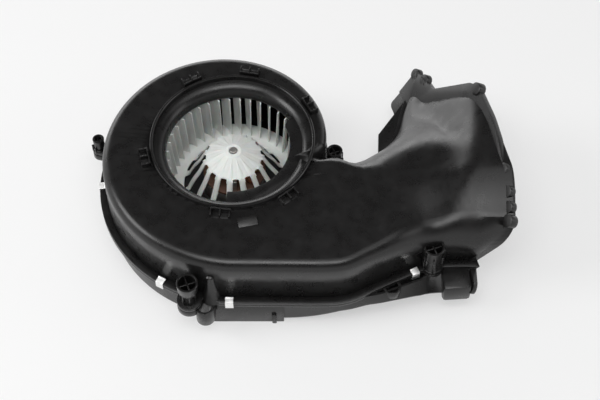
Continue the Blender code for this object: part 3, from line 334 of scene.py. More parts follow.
class Shading:
    """Adds and links the nodes of one material."""

    def __init__(self, name: str) -> None:
        """Starts a material that holds only its Principled BSDF and its output."""
        self.material = bpy.data.materials.new(name)
        self.material.use_nodes = True
        self.tree = self.material.node_tree
        self.shader = self.tree.nodes["Principled BSDF"]
        self.places = self.node("ShaderNodeTexCoord").outputs["Object"]

    def node(self, kind: str, **settings: object) -> bpy.types.Node:
        """A new node with some of its properties set."""
        made = self.tree.nodes.new(kind)
        for key, value in settings.items():
            setattr(made, key, value)
        return made

    def feed(self, socket: bpy.types.NodeSocket, value: object) -> None:
        """Links a socket, or sets its value."""
        if isinstance(value, bpy.types.NodeSocket):
            self.tree.links.new(value, socket)
        else:
            socket.default_value = value

    def stretched(self, scale: Sequence[float]) -> bpy.types.NodeSocket:
        """The object's coordinates, scaled along each axis."""
        made = self.node("ShaderNodeMapping")
        self.feed(made.inputs["Vector"], self.places)
        self.feed(made.inputs["Scale"], tuple(scale))
        return made.outputs["Vector"]

    def noise(
        self, size: float, detail: float = 2.0, roughness: float = 0.5,
        places: Optional[bpy.types.NodeSocket] = None,
    ) -> bpy.types.NodeSocket:
        """A noise field.

        Args:
            size: Size of its features in millimetres.
            detail: Number of finer octaves.
            roughness: Strength of the finer octaves.
            places: Coordinates, or None for the object's own.

        Returns:
            The socket of its value.
        """
        made = self.node("ShaderNodeTexNoise")
        self.feed(made.inputs["Vector"], self.places if places is None else places)
        self.feed(made.inputs["Scale"], 1.0 / (size * MM))
        self.feed(made.inputs["Detail"], detail)
        self.feed(made.inputs["Roughness"], roughness)
        return made.outputs["Fac"]

    def spread(self, value: bpy.types.NodeSocket, low: float, high: float) -> bpy.types.NodeSocket:
        """Maps the middle of a noise field to a range."""
        made = self.node("ShaderNodeMapRange")
        self.feed(made.inputs["Value"], value)
        self.feed(made.inputs["From Min"], 0.3)
        self.feed(made.inputs["From Max"], 0.7)
        self.feed(made.inputs["To Min"], low)
        self.feed(made.inputs["To Max"], high)
        return made.outputs["Result"]

    def math(self, operation: str, a: object, b: object) -> bpy.types.NodeSocket:
        """The result of a Math node."""
        made = self.node("ShaderNodeMath", operation=operation)
        self.feed(made.inputs[0], a)
        self.feed(made.inputs[1], b)
        return made.outputs["Value"]

    def blend(self, share: object, first: object, second: object) -> bpy.types.NodeSocket:
        """A colour between two others."""
        made = self.node("ShaderNodeMix", data_type="RGBA")
        self.feed(made.inputs["Factor"], share)
        self.feed(made.inputs[6], first)
        self.feed(made.inputs[7], second)
        return made.outputs[2]

    def bump(self, height: bpy.types.NodeSocket, depth: float, under: object = None) -> bpy.types.NodeSocket:
        """A bumped normal.

        Args:
            height: The height field, from 0 to 1.
            depth: What 1 stands for, in millimetres.
            under: The normal of a coarser bump below it, or None.

        Returns:
            The socket of the normal.
        """
        made = self.node("ShaderNodeBump")
        self.feed(made.inputs["Height"], height)
        self.feed(made.inputs["Distance"], depth * MM)
        self.feed(made.inputs["Strength"], 1.0)
        if under is not None:
            self.feed(made.inputs["Normal"], under)
        return made.outputs["Normal"]

    def surface(self, **values: object) -> None:
        """Sets or links the shader's sockets by name, with _ for a space."""
        for key, value in values.items():
            self.feed(self.shader.inputs[key.replace("_", " ")], value)


@dataclass(frozen=True)
class Finish:
    """A finish and the record's slot that it belongs to."""

    slot: str
    colour: Colour

    def make(self) -> bpy.types.Material:
        """The material, made the first time that it is asked for."""
        name = self.name()
        found = bpy.data.materials.get(name)
        if found:
            return found
        shading = Shading(name)
        self.dress(shading)
        shading.material.diffuse_color = (*self.colour, 1.0)
        return shading.material

    def name(self) -> str:
        """Name of the material."""
        return f"finish_{self.slot}"

    def tone(self, factor: float) -> tuple[float, float, float, float]:
        """The colour made lighter or darker by a factor."""
        return (*(min(1.0, c * factor) for c in self.colour), 1.0)

    def dress(self, shading: Shading) -> None:
        """Builds the nodes of the finish."""
        raise NotImplementedError


@dataclass(frozen=True)
class MouldedPlastic(Finish):
    """Plastic with the skin of its mould: slow sink marks, a fine grain and an uneven gloss."""

    roughness: float = 0.35
    gloss_spread: float = 0.06
    grain: float = 0.35
    grain_depth: float = 0.004
    sink: float = 30.0
    sink_depth: float = 0.03
    mottle: float = 0.15

    def dress(self, shading: Shading) -> None:
        """Builds the nodes of the finish."""
        cloud = shading.noise(14.0, 4.0, 0.6)
        streaks = shading.noise(3.0, 3.0, 0.55, shading.stretched((0.35, 1.0, 2.2)))
        share = shading.math("MULTIPLY", shading.spread(cloud, 0.0, 1.0), shading.spread(streaks, 0.4, 1.0))
        colour = shading.blend(share, self.tone(1 - self.mottle), self.tone(1 + self.mottle))
        waves = shading.bump(shading.noise(self.sink, 1.0, 0.4), self.sink_depth)
        grain = shading.bump(shading.noise(self.grain, 2.0, 0.6), self.grain_depth, waves)
        low, high = self.roughness - self.gloss_spread, self.roughness + self.gloss_spread
        shading.surface(
            Base_Color=colour, Normal=grain, Metallic=0.0, IOR=1.48,
            Roughness=shading.spread(cloud, low, high))


@dataclass(frozen=True)
class WheelPlastic(Finish):
    """Filled off-white plastic with faint flow lines and a soft, slightly waxy gloss."""

    roughness: float = 0.42
    flow_depth: float = 0.01

    def dress(self, shading: Shading) -> None:
        """Builds the nodes of the finish."""
        flow = shading.noise(6.0, 4.0, 0.6, shading.stretched((1.0, 1.0, 0.25)))
        cloud = shading.noise(22.0, 3.0, 0.5)
        specks = shading.noise(0.5, 2.0, 0.7)
        base = shading.blend(shading.spread(cloud, 0.0, 1.0), self.tone(0.93), self.tone(1.04))
        colour = shading.blend(shading.spread(flow, 0.0, 0.35), base, self.tone(0.86))
        coarse = shading.bump(flow, self.flow_depth)
        fine = shading.bump(specks, 0.003, coarse)
        shading.surface(
            Base_Color=colour, Normal=fine, Metallic=0.0, IOR=1.5,
            Roughness=shading.spread(specks, self.roughness - 0.06, self.roughness + 0.06),
        )
        shading.surface(Subsurface_Weight=0.12, Subsurface_Scale=0.0015)


@dataclass(frozen=True)
class RolledMetal(Finish):
    """Metal with the fine parallel marks of rolling or drawing, and a few dull spots."""

    roughness: float = 0.28
    marks: tuple[float, float, float] = (0.15, 0.15, 6.0)
    mark_size: float = 0.8
    mark_depth: float = 0.004
    stain: float = 0.25

    def dress(self, shading: Shading) -> None:
        """Builds the nodes of the finish."""
        lines = shading.noise(self.mark_size, 3.0, 0.6, shading.stretched(self.marks))
        cloud = shading.noise(5.0, 4.0, 0.6)
        colour = shading.blend(shading.spread(cloud, 0.0, 1.0), self.tone(1 - self.stain), self.tone(1.08))
        rough = shading.math(
            "ADD", shading.spread(lines, -0.06, 0.08),
            shading.spread(cloud, self.roughness + 0.08, self.roughness))
        shading.surface(
            Base_Color=colour, Normal=shading.bump(lines, self.mark_depth), Metallic=1.0, Roughness=rough)


@dataclass(frozen=True)
class LayeredSteel(Finish):
    """The stack of thin sheets of an armature core, with varnish between them."""

    sheet: float = 0.65

    def dress(self, shading: Shading) -> None:
        """Builds the nodes of the finish."""
        wave = shading.node("ShaderNodeTexWave", wave_type="BANDS", bands_direction="Z", wave_profile="SAW")
        shading.feed(wave.inputs["Vector"], shading.places)
        shading.feed(wave.inputs["Scale"], 0.314 / (self.sheet * MM))
        shading.feed(wave.inputs["Distortion"], 0.4)
        cloud = shading.noise(4.0, 3.0, 0.6)
        colour = shading.blend(wave.outputs["Fac"], self.tone(0.45), self.tone(1.1))
        shading.surface(
            Base_Color=colour, Normal=shading.bump(wave.outputs["Fac"], 0.05), Metallic=1.0,
            Roughness=shading.spread(cloud, 0.38, 0.58))


@dataclass(frozen=True)
class WoundWire(Finish):
    """Enamelled copper wire, laid side by side round the axis."""

    wire: float = 0.55

    def dress(self, shading: Shading) -> None:
        """Builds the nodes of the finish."""
        wave = shading.node("ShaderNodeTexWave", wave_type="RINGS", rings_direction="Z", wave_profile="SIN")
        shading.feed(wave.inputs["Vector"], shading.places)
        shading.feed(wave.inputs["Scale"], 0.314 / (self.wire * MM))
        shading.feed(wave.inputs["Distortion"], 1.6)
        shading.feed(wave.inputs["Detail"], 1.0)
        cloud = shading.noise(3.0, 3.0, 0.6)
        colour = shading.blend(wave.outputs["Fac"], self.tone(0.4), self.tone(1.1))
        shading.surface(
            Base_Color=colour, Normal=shading.bump(wave.outputs["Fac"], 0.12), Metallic=0.9,
            Roughness=shading.spread(cloud, 0.25, 0.45))


@dataclass(frozen=True)
class PressedPowder(Finish):
    """A pressed or sintered block: dull, with open grains."""

    grain: float = 0.5
    roughness: float = 0.62

    def dress(self, shading: Shading) -> None:
        """Builds the nodes of the finish."""
        grains = shading.noise(self.grain, 4.0, 0.75)
        colour = shading.blend(shading.spread(grains, 0.0, 1.0), self.tone(0.7), self.tone(1.5))
        shading.surface(
            Base_Color=colour, Normal=shading.bump(grains, 0.03), Metallic=0.0,
            Roughness=shading.spread(grains, self.roughness + 0.1, self.roughness - 0.1))


class Finishes:
    """The finishes of this object, one for each slot of the record."""

    HOUSING = MouldedPlastic("black_plastic", (0.0083, 0.0079, 0.0079), roughness=0.3)
    CARRIER = MouldedPlastic("carrier_plastic", (0.014, 0.014, 0.015), roughness=0.42, grain=0.6)
    SOCKET = MouldedPlastic("socket_plastic", (0.03, 0.03, 0.034), roughness=0.45, grain=0.5)
    PHENOLIC = MouldedPlastic("brush_plate_plastic", (0.11, 0.05, 0.03), roughness=0.5, mottle=0.35)
    WHEEL = WheelPlastic("wheel_plastic", (0.76, 0.78, 0.755))
    SPRING_STEEL = RolledMetal(
        "spring_steel", (0.93, 0.93, 0.92), roughness=0.46, mark_depth=0.002, stain=0.04)
    MOTOR_STEEL = RolledMetal("motor_steel", (0.56, 0.54, 0.52), roughness=0.33)
    BEARING_STEEL = RolledMetal("bearing_steel", (0.66, 0.64, 0.6), roughness=0.2, marks=(0.2, 0.2, 9.0))
    CORE_STEEL = LayeredSteel("core_steel", (0.42, 0.42, 0.43))
    COPPER = WoundWire("copper", (0.72, 0.3, 0.17))
    BRASS = RolledMetal("brass", (0.75, 0.56, 0.27), roughness=0.3)
    FERRITE = PressedPowder("ferrite", (0.05, 0.05, 0.055))
    CARBON = PressedPowder("carbon", (0.03, 0.03, 0.032), grain=0.3, roughness=0.7)
    RUBBER = PressedPowder("rubber", (0.02, 0.02, 0.02), grain=0.8, roughness=0.8)


class Workshop:
    """Makes finished meshes into named objects on the bodies of the frame."""

    def __init__(self) -> None:
        """Starts with an empty list of pieces."""
        self.made: list[bpy.types.Object] = []

    def place(
        self, name: str, bm: BMesh, finish: Finish, body: str = "root", sharp: float = 35.0,
    ) -> bpy.types.Object:
        """Makes a piece.

        Args:
            name: Its name.
            bm: Its mesh in millimetres, which is freed.
            finish: Its finish.
            body: The body that it moves with.
            sharp: The angle over which an edge is shaded sharp.

        Returns:
            The object.
        """
        bmesh.ops.scale(bm, verts=bm.verts, vec=(MM, MM, MM))
        mesh = bpy.data.meshes.new(name)
        bm.to_mesh(mesh)
        bm.free()
        mesh.shade_smooth()
        mesh.set_sharp_from_angle(angle=math.radians(sharp))
        mesh.materials.append(finish.make())
        obj = bpy.data.objects.new(name, mesh)
        bpy.context.scene.collection.objects.link(obj)
        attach(obj, body)
        self.made.append(obj)
        log.info("%s: %d faces", name, len(mesh.polygons))
        return obj

    def refine(self, node: str, finish: Finish, rounding: float, segments: int = 2) -> bpy.types.Object:
        """Dresses a copy of a node of the frame, with its flat faces whole and its edges rounded.

        Args:
            node: Name of the node.
            finish: The finish of the copy.
            rounding: Width of the bevel on its edges, or 0.
            segments: Number of faces across the bevel.

        Returns:
            The object that stands for the node.
        """
        source = frame["nodes"][node]
        bm = bmesh.new()
        bm.from_mesh(source.data)
        bmesh.ops.scale(bm, verts=bm.verts, vec=(1 / MM, 1 / MM, 1 / MM))
        outward(bm)
        bmesh.ops.dissolve_limit(bm, angle_limit=math.radians(1.0), verts=bm.verts, edges=bm.edges)
        if rounding:
            round_edges(bm, rounding, segments)
        obj = self.place(f"{node}_dressed", bm, finish, source["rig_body"])
        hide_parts(node)
        return obj


class Side(Enum):
    """Which half of the housing a surface belongs to: up for the upper shell, down for the lower one."""

    UPPER = 1
    LOWER = -1


@dataclass
class Station:
    """One point of the housing's outline, with the fillet over it."""

    point: Vector
    reach: float
    drop: float
    ledge: float
    lean: float = 0.0


@dataclass
class HousingForm:
    """The outline of the volute and its duct, and the heights of its upper and lower surfaces."""

    wall: float = 2.5
    split: float = 42.0
    gap: float = 0.3
    top: float = 100.0
    fillet: float = 10.0
    scroll_radius: float = 93.5
    scroll_growth: float = 0.2
    scroll_start: float = -3.0
    scroll_end: float = 270.0
    scroll_step: float = 3.0
    curve_step: float = 6.0
    grid_step: float = 5.0
    fillet_rows: int = 8
    front_wall: tuple[Pair, ...] = (
        (53, -148), (106, -147), (137, -134), (166, -120), (191, -109), (216, -106), (241, -106))
    back_rim: tuple[Pair, ...] = (
        (193, 124), (179, 82.5), (168, 43), (151, 17), (129, -1.5), (112, -12), (104.5, -15))
    tongue: tuple[Pair, ...] = ((99.5, -15.5), (96, -13.5), (93.8, -9.5))
    far_corners: tuple[Pair, ...] = ((330, -106), (330, 200), (213, 200))
    back_drop: float = 37.0
    front_drop: float = 17.0
    crown: float = 116.5
    crown_curve: float = 0.0021
    crown_middle: float = 20.0
    crown_back: tuple[float, float, float] = (114.0, 52.0, 1.95)
    facet_slope: Pair = (1.0, -0.05)
    facet_level: float = -127.0
    front_fillet: Pair = (22.0, 26.0)
    back_shoulder: tuple[Pair, ...] = (
        (-15.5, 10.0), (-14.0, 16.0), (-10.0, 30.0), (-1.5, 42.0), (17.0, 44.0), (43.0, 40.0), (83.0, 30.0),
        (125.0, 26.0))
    shoulder_share: float = 0.85
    floor_rise: tuple[float, float, float] = (25.0, 150.0, 52.0)
    lower_fillet: float = 5.0
    skirt: tuple[Pair, ...] = ((53, 0), (107, 2), (147, 13), (186, 16), (207, 7), (241, 0), (330, 0))
    skirt_wall: float = 2.2
    pocket_depth: float = 10.0
    lean: tuple[Pair, ...] = ((53, 0), (107, 1), (147, 3), (186, 10), (207, 20), (241, 28), (330, 30))
    ledge_width: float = 7.5
    ledge_tongue: float = 2.5
    ledge_back: float = 4.0
    ledge_thickness: float = 3.3
    outlet_turn: float = 15.0
    outlet_tilt: float = -35.0
    outlet_distance: float = 143.5
    found: dict[Side, list[Station]] = field(default_factory=dict)

    def outlet_axes(self) -> tuple[Vector, Vector, Vector]:
        """Axes of the outlet plane: its normal, its level direction and its upward direction."""
        turn, tilt = math.radians(self.outlet_turn), math.radians(self.outlet_tilt)
        normal = Vector((math.cos(tilt) * math.cos(turn), math.cos(tilt) * math.sin(turn), math.sin(tilt)))
        level = Vector((-math.sin(turn), math.cos(turn), 0.0))
        return normal, level, normal.cross(level)

    def radius_at(self, degrees: float) -> float:
        """Radius of the scroll at an angle."""
        return self.scroll_radius + self.scroll_growth * max(degrees, 0.0)

    def main_height(self, x: float, y: float) -> float:
        """Height of the upper surface without the crown over the outlet."""
        back = self.back_drop * ease((y + 15) / 100) * ease((x - 95) / 30)
        front = self.front_drop * ease((-y - 40) / 60) * ease((x - 150) / 90)
        return self.top - back - front

    def top_height(self, x: float, y: float) -> float:
        """Height of the upper surface."""
        facet = self.facet_slope[0] * x + self.facet_slope[1] * y + self.facet_level
        crown = self.crown - self.crown_curve * (y - self.crown_middle) ** 2
        high, place, fall = self.crown_back
        lobe = -soft_max(soft_max(-facet, -crown, 9.0), fall * (y - place) - high, 6.0)
        spread = 4.0 + 0.5 * min(max(self.crown_middle - y, 0.0), 60.0)
        return soft_max(self.main_height(x, y), lobe, spread)

    def floor_height(self, x: float, y: float) -> float:
        """Height of the underside."""
        rise, start, run = self.floor_rise
        return rise * ease((math.hypot(x, y) - start) / run)

    def upper_stations(self) -> list[Station]:
        """The outline of the upper shell at the split, counter-clockwise from the tongue."""
        stations = []
        steps = round((self.scroll_end - self.scroll_start) / self.scroll_step)
        for i in range(steps + 1):
            angle = self.scroll_start + (self.scroll_end - self.scroll_start) * i / steps
            ledge = self.ledge_tongue + (self.ledge_width - self.ledge_tongue) * ease((angle - 5) / 35)
            stations.append(Station(polar(self.radius_at(angle), angle), self.fillet, self.fillet, ledge))
        for point in smooth_curve(self.front_wall, self.curve_step) + [Vector(self.front_wall[-1])]:
            share = ease((point.x - 106) / 135)
            reach = self.fillet + (self.front_fillet[0] - self.fillet) * share
            drop = self.fillet + (self.front_fillet[1] - self.fillet) * share
            stations.append(Station(point, reach, drop, self.ledge_width))
        for point in self.far_corners:
            stations.append(Station(Vector(point), self.fillet, self.fillet, self.ledge_back))
        for point in smooth_curve(self.back_rim + self.tongue, self.curve_step) + [Vector(self.tongue[-1])]:
            reach = reading(self.back_shoulder, point.y)
            share = ease((reach - self.fillet) / 20)
            full = self.shoulder_share * (self.main_height(point.x, point.y) - self.split)
            drop = self.fillet + (full - self.fillet) * share
            ledge = self.ledge_tongue + (self.ledge_back - self.ledge_tongue) * ease((point.y + 10) / 20)
            stations.append(Station(point, reach, drop, ledge))
        return stations

    def lower_stations(self, skirt: float) -> list[Station]:
        """The outline of the lower shell at the split.

        Args:
            skirt: 1 for the outer face, and 0 for the air channel inside it.

        Returns:
            The stations, which match those of the upper shell one by one.
        """
        stations = self.upper_stations()
        for station in stations:
            station.reach = station.drop = self.lower_fillet
            if station.point.y < -90 and station.point.x > 0:
                station.lean = reading(self.lean, station.point.x)
                station.point.y -= skirt * reading(self.skirt, station.point.x)
        return stations

    def sheet(
        self, stations: list[Station], inset: float, base: float, side: Side,
    ) -> tuple[BMesh, list[BMVert]]:
        """The wall and the fillet of one half, grown row by row from its outline.

        Args:
            stations: The outline.
            inset: How far the sheet lies inside the outer face.
            base: Height of the first row.
            side: The half that it belongs to.

        Returns:
            The mesh and the vertices of its last row.
        """
        height = self.top_height if side is Side.UPPER else self.floor_height
        points = [s.point for s in stations]
        bm = bmesh.new()
        first = offset_loop(points, [-inset] * len(points))
        loop = start_loop(bm, [Vector((p.x, p.y, base)) for p in first])
        for i in range(self.fillet_rows + 1):
            angle = 0.5 * math.pi * i / self.fillet_rows
            inwards = [-inset - (s.reach - inset) * (1 - math.cos(angle)) for s in stations]
            row = []
            for station, place in zip(stations, offset_loop(points, inwards)):
                x, y = place.x, place.y - station.lean
                fall = inset + (station.drop - inset) * (1 - math.sin(angle))
                row.append(Vector((x, y, height(x, y) - side.value * fall)))
            loop = grow_loop(bm, loop, row)
        return bm, loop

    def capped(self, bm: BMesh, loop: list[BMVert], inset: float, side: Side, hole: float = 0.0) -> None:
        """Closes the last row of a sheet with a fine grid that follows the surface.

        Args:
            bm: The sheet.
            loop: The vertices of its last row.
            inset: How far the sheet lies inside the outer face.
            side: The half that it belongs to.
            hole: Radius of a round hole about the fan axis, or 0.
        """
        height = self.top_height if side is Side.UPPER else self.floor_height
        rim = [bm.edges.get((loop[i - 1], v)) for i, v in enumerate(loop)]
        if hole:
            place = Matrix.Translation((0, 0, height(0, 0) - side.value * inset))
            made = bmesh.ops.create_circle(bm, cap_ends=False, segments=144, radius=hole, matrix=place)
            rim += list({e for v in made["verts"] for e in v.link_edges})
        cap = bmesh.ops.triangle_fill(
            bm, use_beauty=True, use_dissolve=False, edges=rim, normal=(0.0, 0.0, 1.0))["geom"]
        for face in [g for g in cap if isinstance(g, BMFace)]:
            face.material_index = 1
        low = Vector((min(v.co.x for v in loop), min(v.co.y for v in loop)))
        high = Vector((max(v.co.x for v in loop), max(v.co.y for v in loop)))
        for axis, direction in ((0, (1, 0, 0)), (1, (0, 1, 0))):
            start = self.scroll_radius if axis == 0 else low[axis]
            for i in range(1, int((high[axis] - start) / self.grid_step) + 1):
                faces = [f for f in bm.faces if f.material_index == 1]
                place = Vector(direction) * (start + i * self.grid_step)
                edges = {e for f in faces for e in f.edges}
                verts = {v for e in edges for v in e.verts}
                bmesh.ops.bisect_plane(
                    bm, geom=list(verts) + list(edges) + faces, dist=1e-3, plane_co=place,
                    plane_no=direction)
        for face in [f for f in bm.faces if f.material_index == 1]:
            for vert in face.verts:
                vert.co.z = height(vert.co.x, vert.co.y) - side.value * inset
            face.material_index = 0

    def solid(self, stations: list[Station], inset: float, base: float, side: Side) -> BMesh:
        """A closed solid of one half, from a height to its outer or inner face."""
        bm, loop = self.sheet(stations, inset, base, side)
        self.capped(bm, loop, inset, side)
        rim = [e for e in bm.edges if e.is_boundary]
        bmesh.ops.holes_fill(bm, edges=rim, sides=0)
        return outward(bm)

    def at_outlet(self, bm: BMesh, depth: float = 0.0) -> BMesh:
        """Cuts away what lies past the outlet plane, or past a plane behind it."""
        normal = self.outlet_axes()[0]
        bmesh.ops.bisect_plane(
            bm, geom=bm.verts[:] + bm.edges[:] + bm.faces[:], dist=1e-3,
            plane_co=normal * (self.outlet_distance - depth), plane_no=normal, clear_outer=True)
        return bm

    def ledge(self, low: float, high: float, rounding: float) -> BMesh:
        """The flange along the split, between two heights, cut off at the outlet."""
        stations = self.upper_stations()
        points = [s.point for s in stations]
        inner = offset_loop(points, [-1.2] * len(points))
        outer = offset_loop(points, [s.ledge for s in stations])
        bm = bmesh.new()
        first = start_loop(bm, [Vector((*p, low)) for p in inner])
        loop = grow_loop(bm, first, [Vector((*p, low)) for p in outer])
        loop = grow_loop(bm, loop, [Vector((*p, high)) for p in outer])
        loop = grow_loop(bm, loop, [Vector((*p, high)) for p in inner])
        ends = [bm.edges.get((row[i - 1], v)) for row in (first, loop) for i, v in enumerate(row)]
        bmesh.ops.bridge_loops(bm, edges=ends)
        outward(bm)
        self.at_outlet(bm)
        bmesh.ops.holes_fill(bm, edges=[e for e in bm.edges if e.is_boundary], sides=0)
        outward(bm)
        rims = [e for e in sharp_edges(bm, 60.0) if abs(e.verts[0].co.z - e.verts[1].co.z) < 1e-3]
        round_edges(bm, rounding, 2, rims)
        return bm

    def flange_plate(self, outline: Sequence[Pair], thickness: float, low: float, high: float) -> BMesh:
        """The plate of the outlet flange, kept between two heights.

        Args:
            outline: Its corners, along the level and the upward direction of the outlet plane.
            thickness: Its thickness behind the outlet plane.
            low: Height under which it is cut away.
            high: Height over which it is cut away.

        Returns:
            The closed plate.
        """
        normal, level, upward = self.outlet_axes()
        corners = [normal * self.outlet_distance + level * a + upward * b for a, b in outline]
        bm = bmesh.new()
        face = bm.faces.new([bm.verts.new(p - normal * thickness) for p in corners])
        raised = bmesh.ops.extrude_face_region(bm, geom=[face])
        bmesh.ops.translate(bm, verts=new_verts(raised), vec=normal * thickness)
        along = [e for e in bm.edges if abs((e.verts[1].co - e.verts[0].co).normalized().dot(normal)) > 0.99]
        round_edges(bm, 5.0, 5, along)
        outward(bm)
        room = block((900, 900, high - low), (0, 0, (low + high) / 2), rounding=0)
        return combined(bm, room, Operation.COMMON)

    def lug(self, point: Pair, length: float, radius: float, segments: int, bore: float = 0.0) -> BMesh:
        """A round boss across the outlet flange, with a bore in its face if asked."""
        normal, level, upward = self.outlet_axes()
        axes = Matrix((level, upward, normal)).transposed().to_4x4()
        centre = normal * self.outlet_distance + level * point[0] + upward * point[1]
        place = Matrix.Translation(centre) @ axes
        profile = [(0.0, -length), (radius, -length), (radius, 0.0), (bore, 0.0)]
        if bore:
            profile += [(bore, -0.6 * length), (0.0, -0.6 * length)]
        bm = turned(profile, segments, closed=False)
        bmesh.ops.transform(bm, verts=bm.verts, matrix=place)
        outward(bm)
        round_edges(bm, 0.5)
        return bm


@dataclass
class Tower:
    """A hollow mounting tower with crossed ribs inside."""

    x: float
    y: float
    top: float
    radius: float
    facing: float
    stem: float = 0.0
    wall: float = 2.2
    cup_depth: float = 15.0
    rib: float = 1.6
    cross_height: float = 13.0
    cross_turn: float = 20.0
    rib_size: Pair = (2.4, 1.4)
    rib_turns: tuple[float, ...] = (-75.0, -25.0, 25.0, 75.0)

    def tube(self, base: float) -> BMesh:
        """The tube, or a cup on a narrower stem, with a rounded rim and a flared foot."""
        hole = self.radius - self.wall
        stem = self.stem or self.radius
        cup = self.top - self.cup_depth
        profile = (
            (0, base), (stem + 1.6, base), (stem + 0.3, base + 6), (stem, cup - 5),
            (self.radius - 0.5, cup + 4), (self.radius, self.top - 0.6), (self.radius - 0.6, self.top),
            (hole + 0.5, self.top),
            (hole, self.top - 0.5), (hole - 0.6, cup + 4), (min(hole, stem) - 2.4, cup - 4), (0, cup - 4),
        )
        return turned(profile, 40, centre=(self.x, self.y), closed=False)

    def cross(self) -> BMesh:
        """The crossed ribs in the tube."""
        high = self.cross_height
        centre = (self.x, self.y, self.top - 3 - high / 2)
        long = 2 * (self.radius - self.wall) + 0.6
        return gathered(
            block((long, self.rib, high), centre, self.cross_turn, 0.3),
            block((self.rib, long, high), centre, self.cross_turn, 0.3))

    def ribs(self, base: float) -> BMesh:
        """Upright ribs round the outside."""
        parts = []
        reach = (self.stem or self.radius) + 0.6
        high = self.top - 9 - base
        for turn in self.rib_turns:
            middle = Vector((self.x, self.y)) + polar(reach, self.facing + turn)
            parts.append(block((*self.rib_size, high), (*middle, base + high / 2), self.facing + turn, 0.4))
        return gathered(*parts)

    def web(self, base: float) -> BMesh:
        """The plate that ties the tower to the housing wall."""
        middle = Vector((self.x, self.y)) - polar(self.radius + 2, self.facing)
        height = 0.6 * (self.top - base)
        return block((9.0, 2.2, height), (middle.x, middle.y, base + height / 2), self.facing, 0.4)

    def tab(self, low: float, high: float) -> BMesh:
        """The part of a split flange that reaches out under the tower."""
        back = polar(14.0, self.facing + 180)
        points = [polar(self.radius + 1.5, self.facing - 90 + 180 * i / 20) for i in range(21)]
        points = [points[0] + back] + points + [points[-1] + back]
        return prism([(p.x + self.x, p.y + self.y) for p in points], low, high, 0.4)


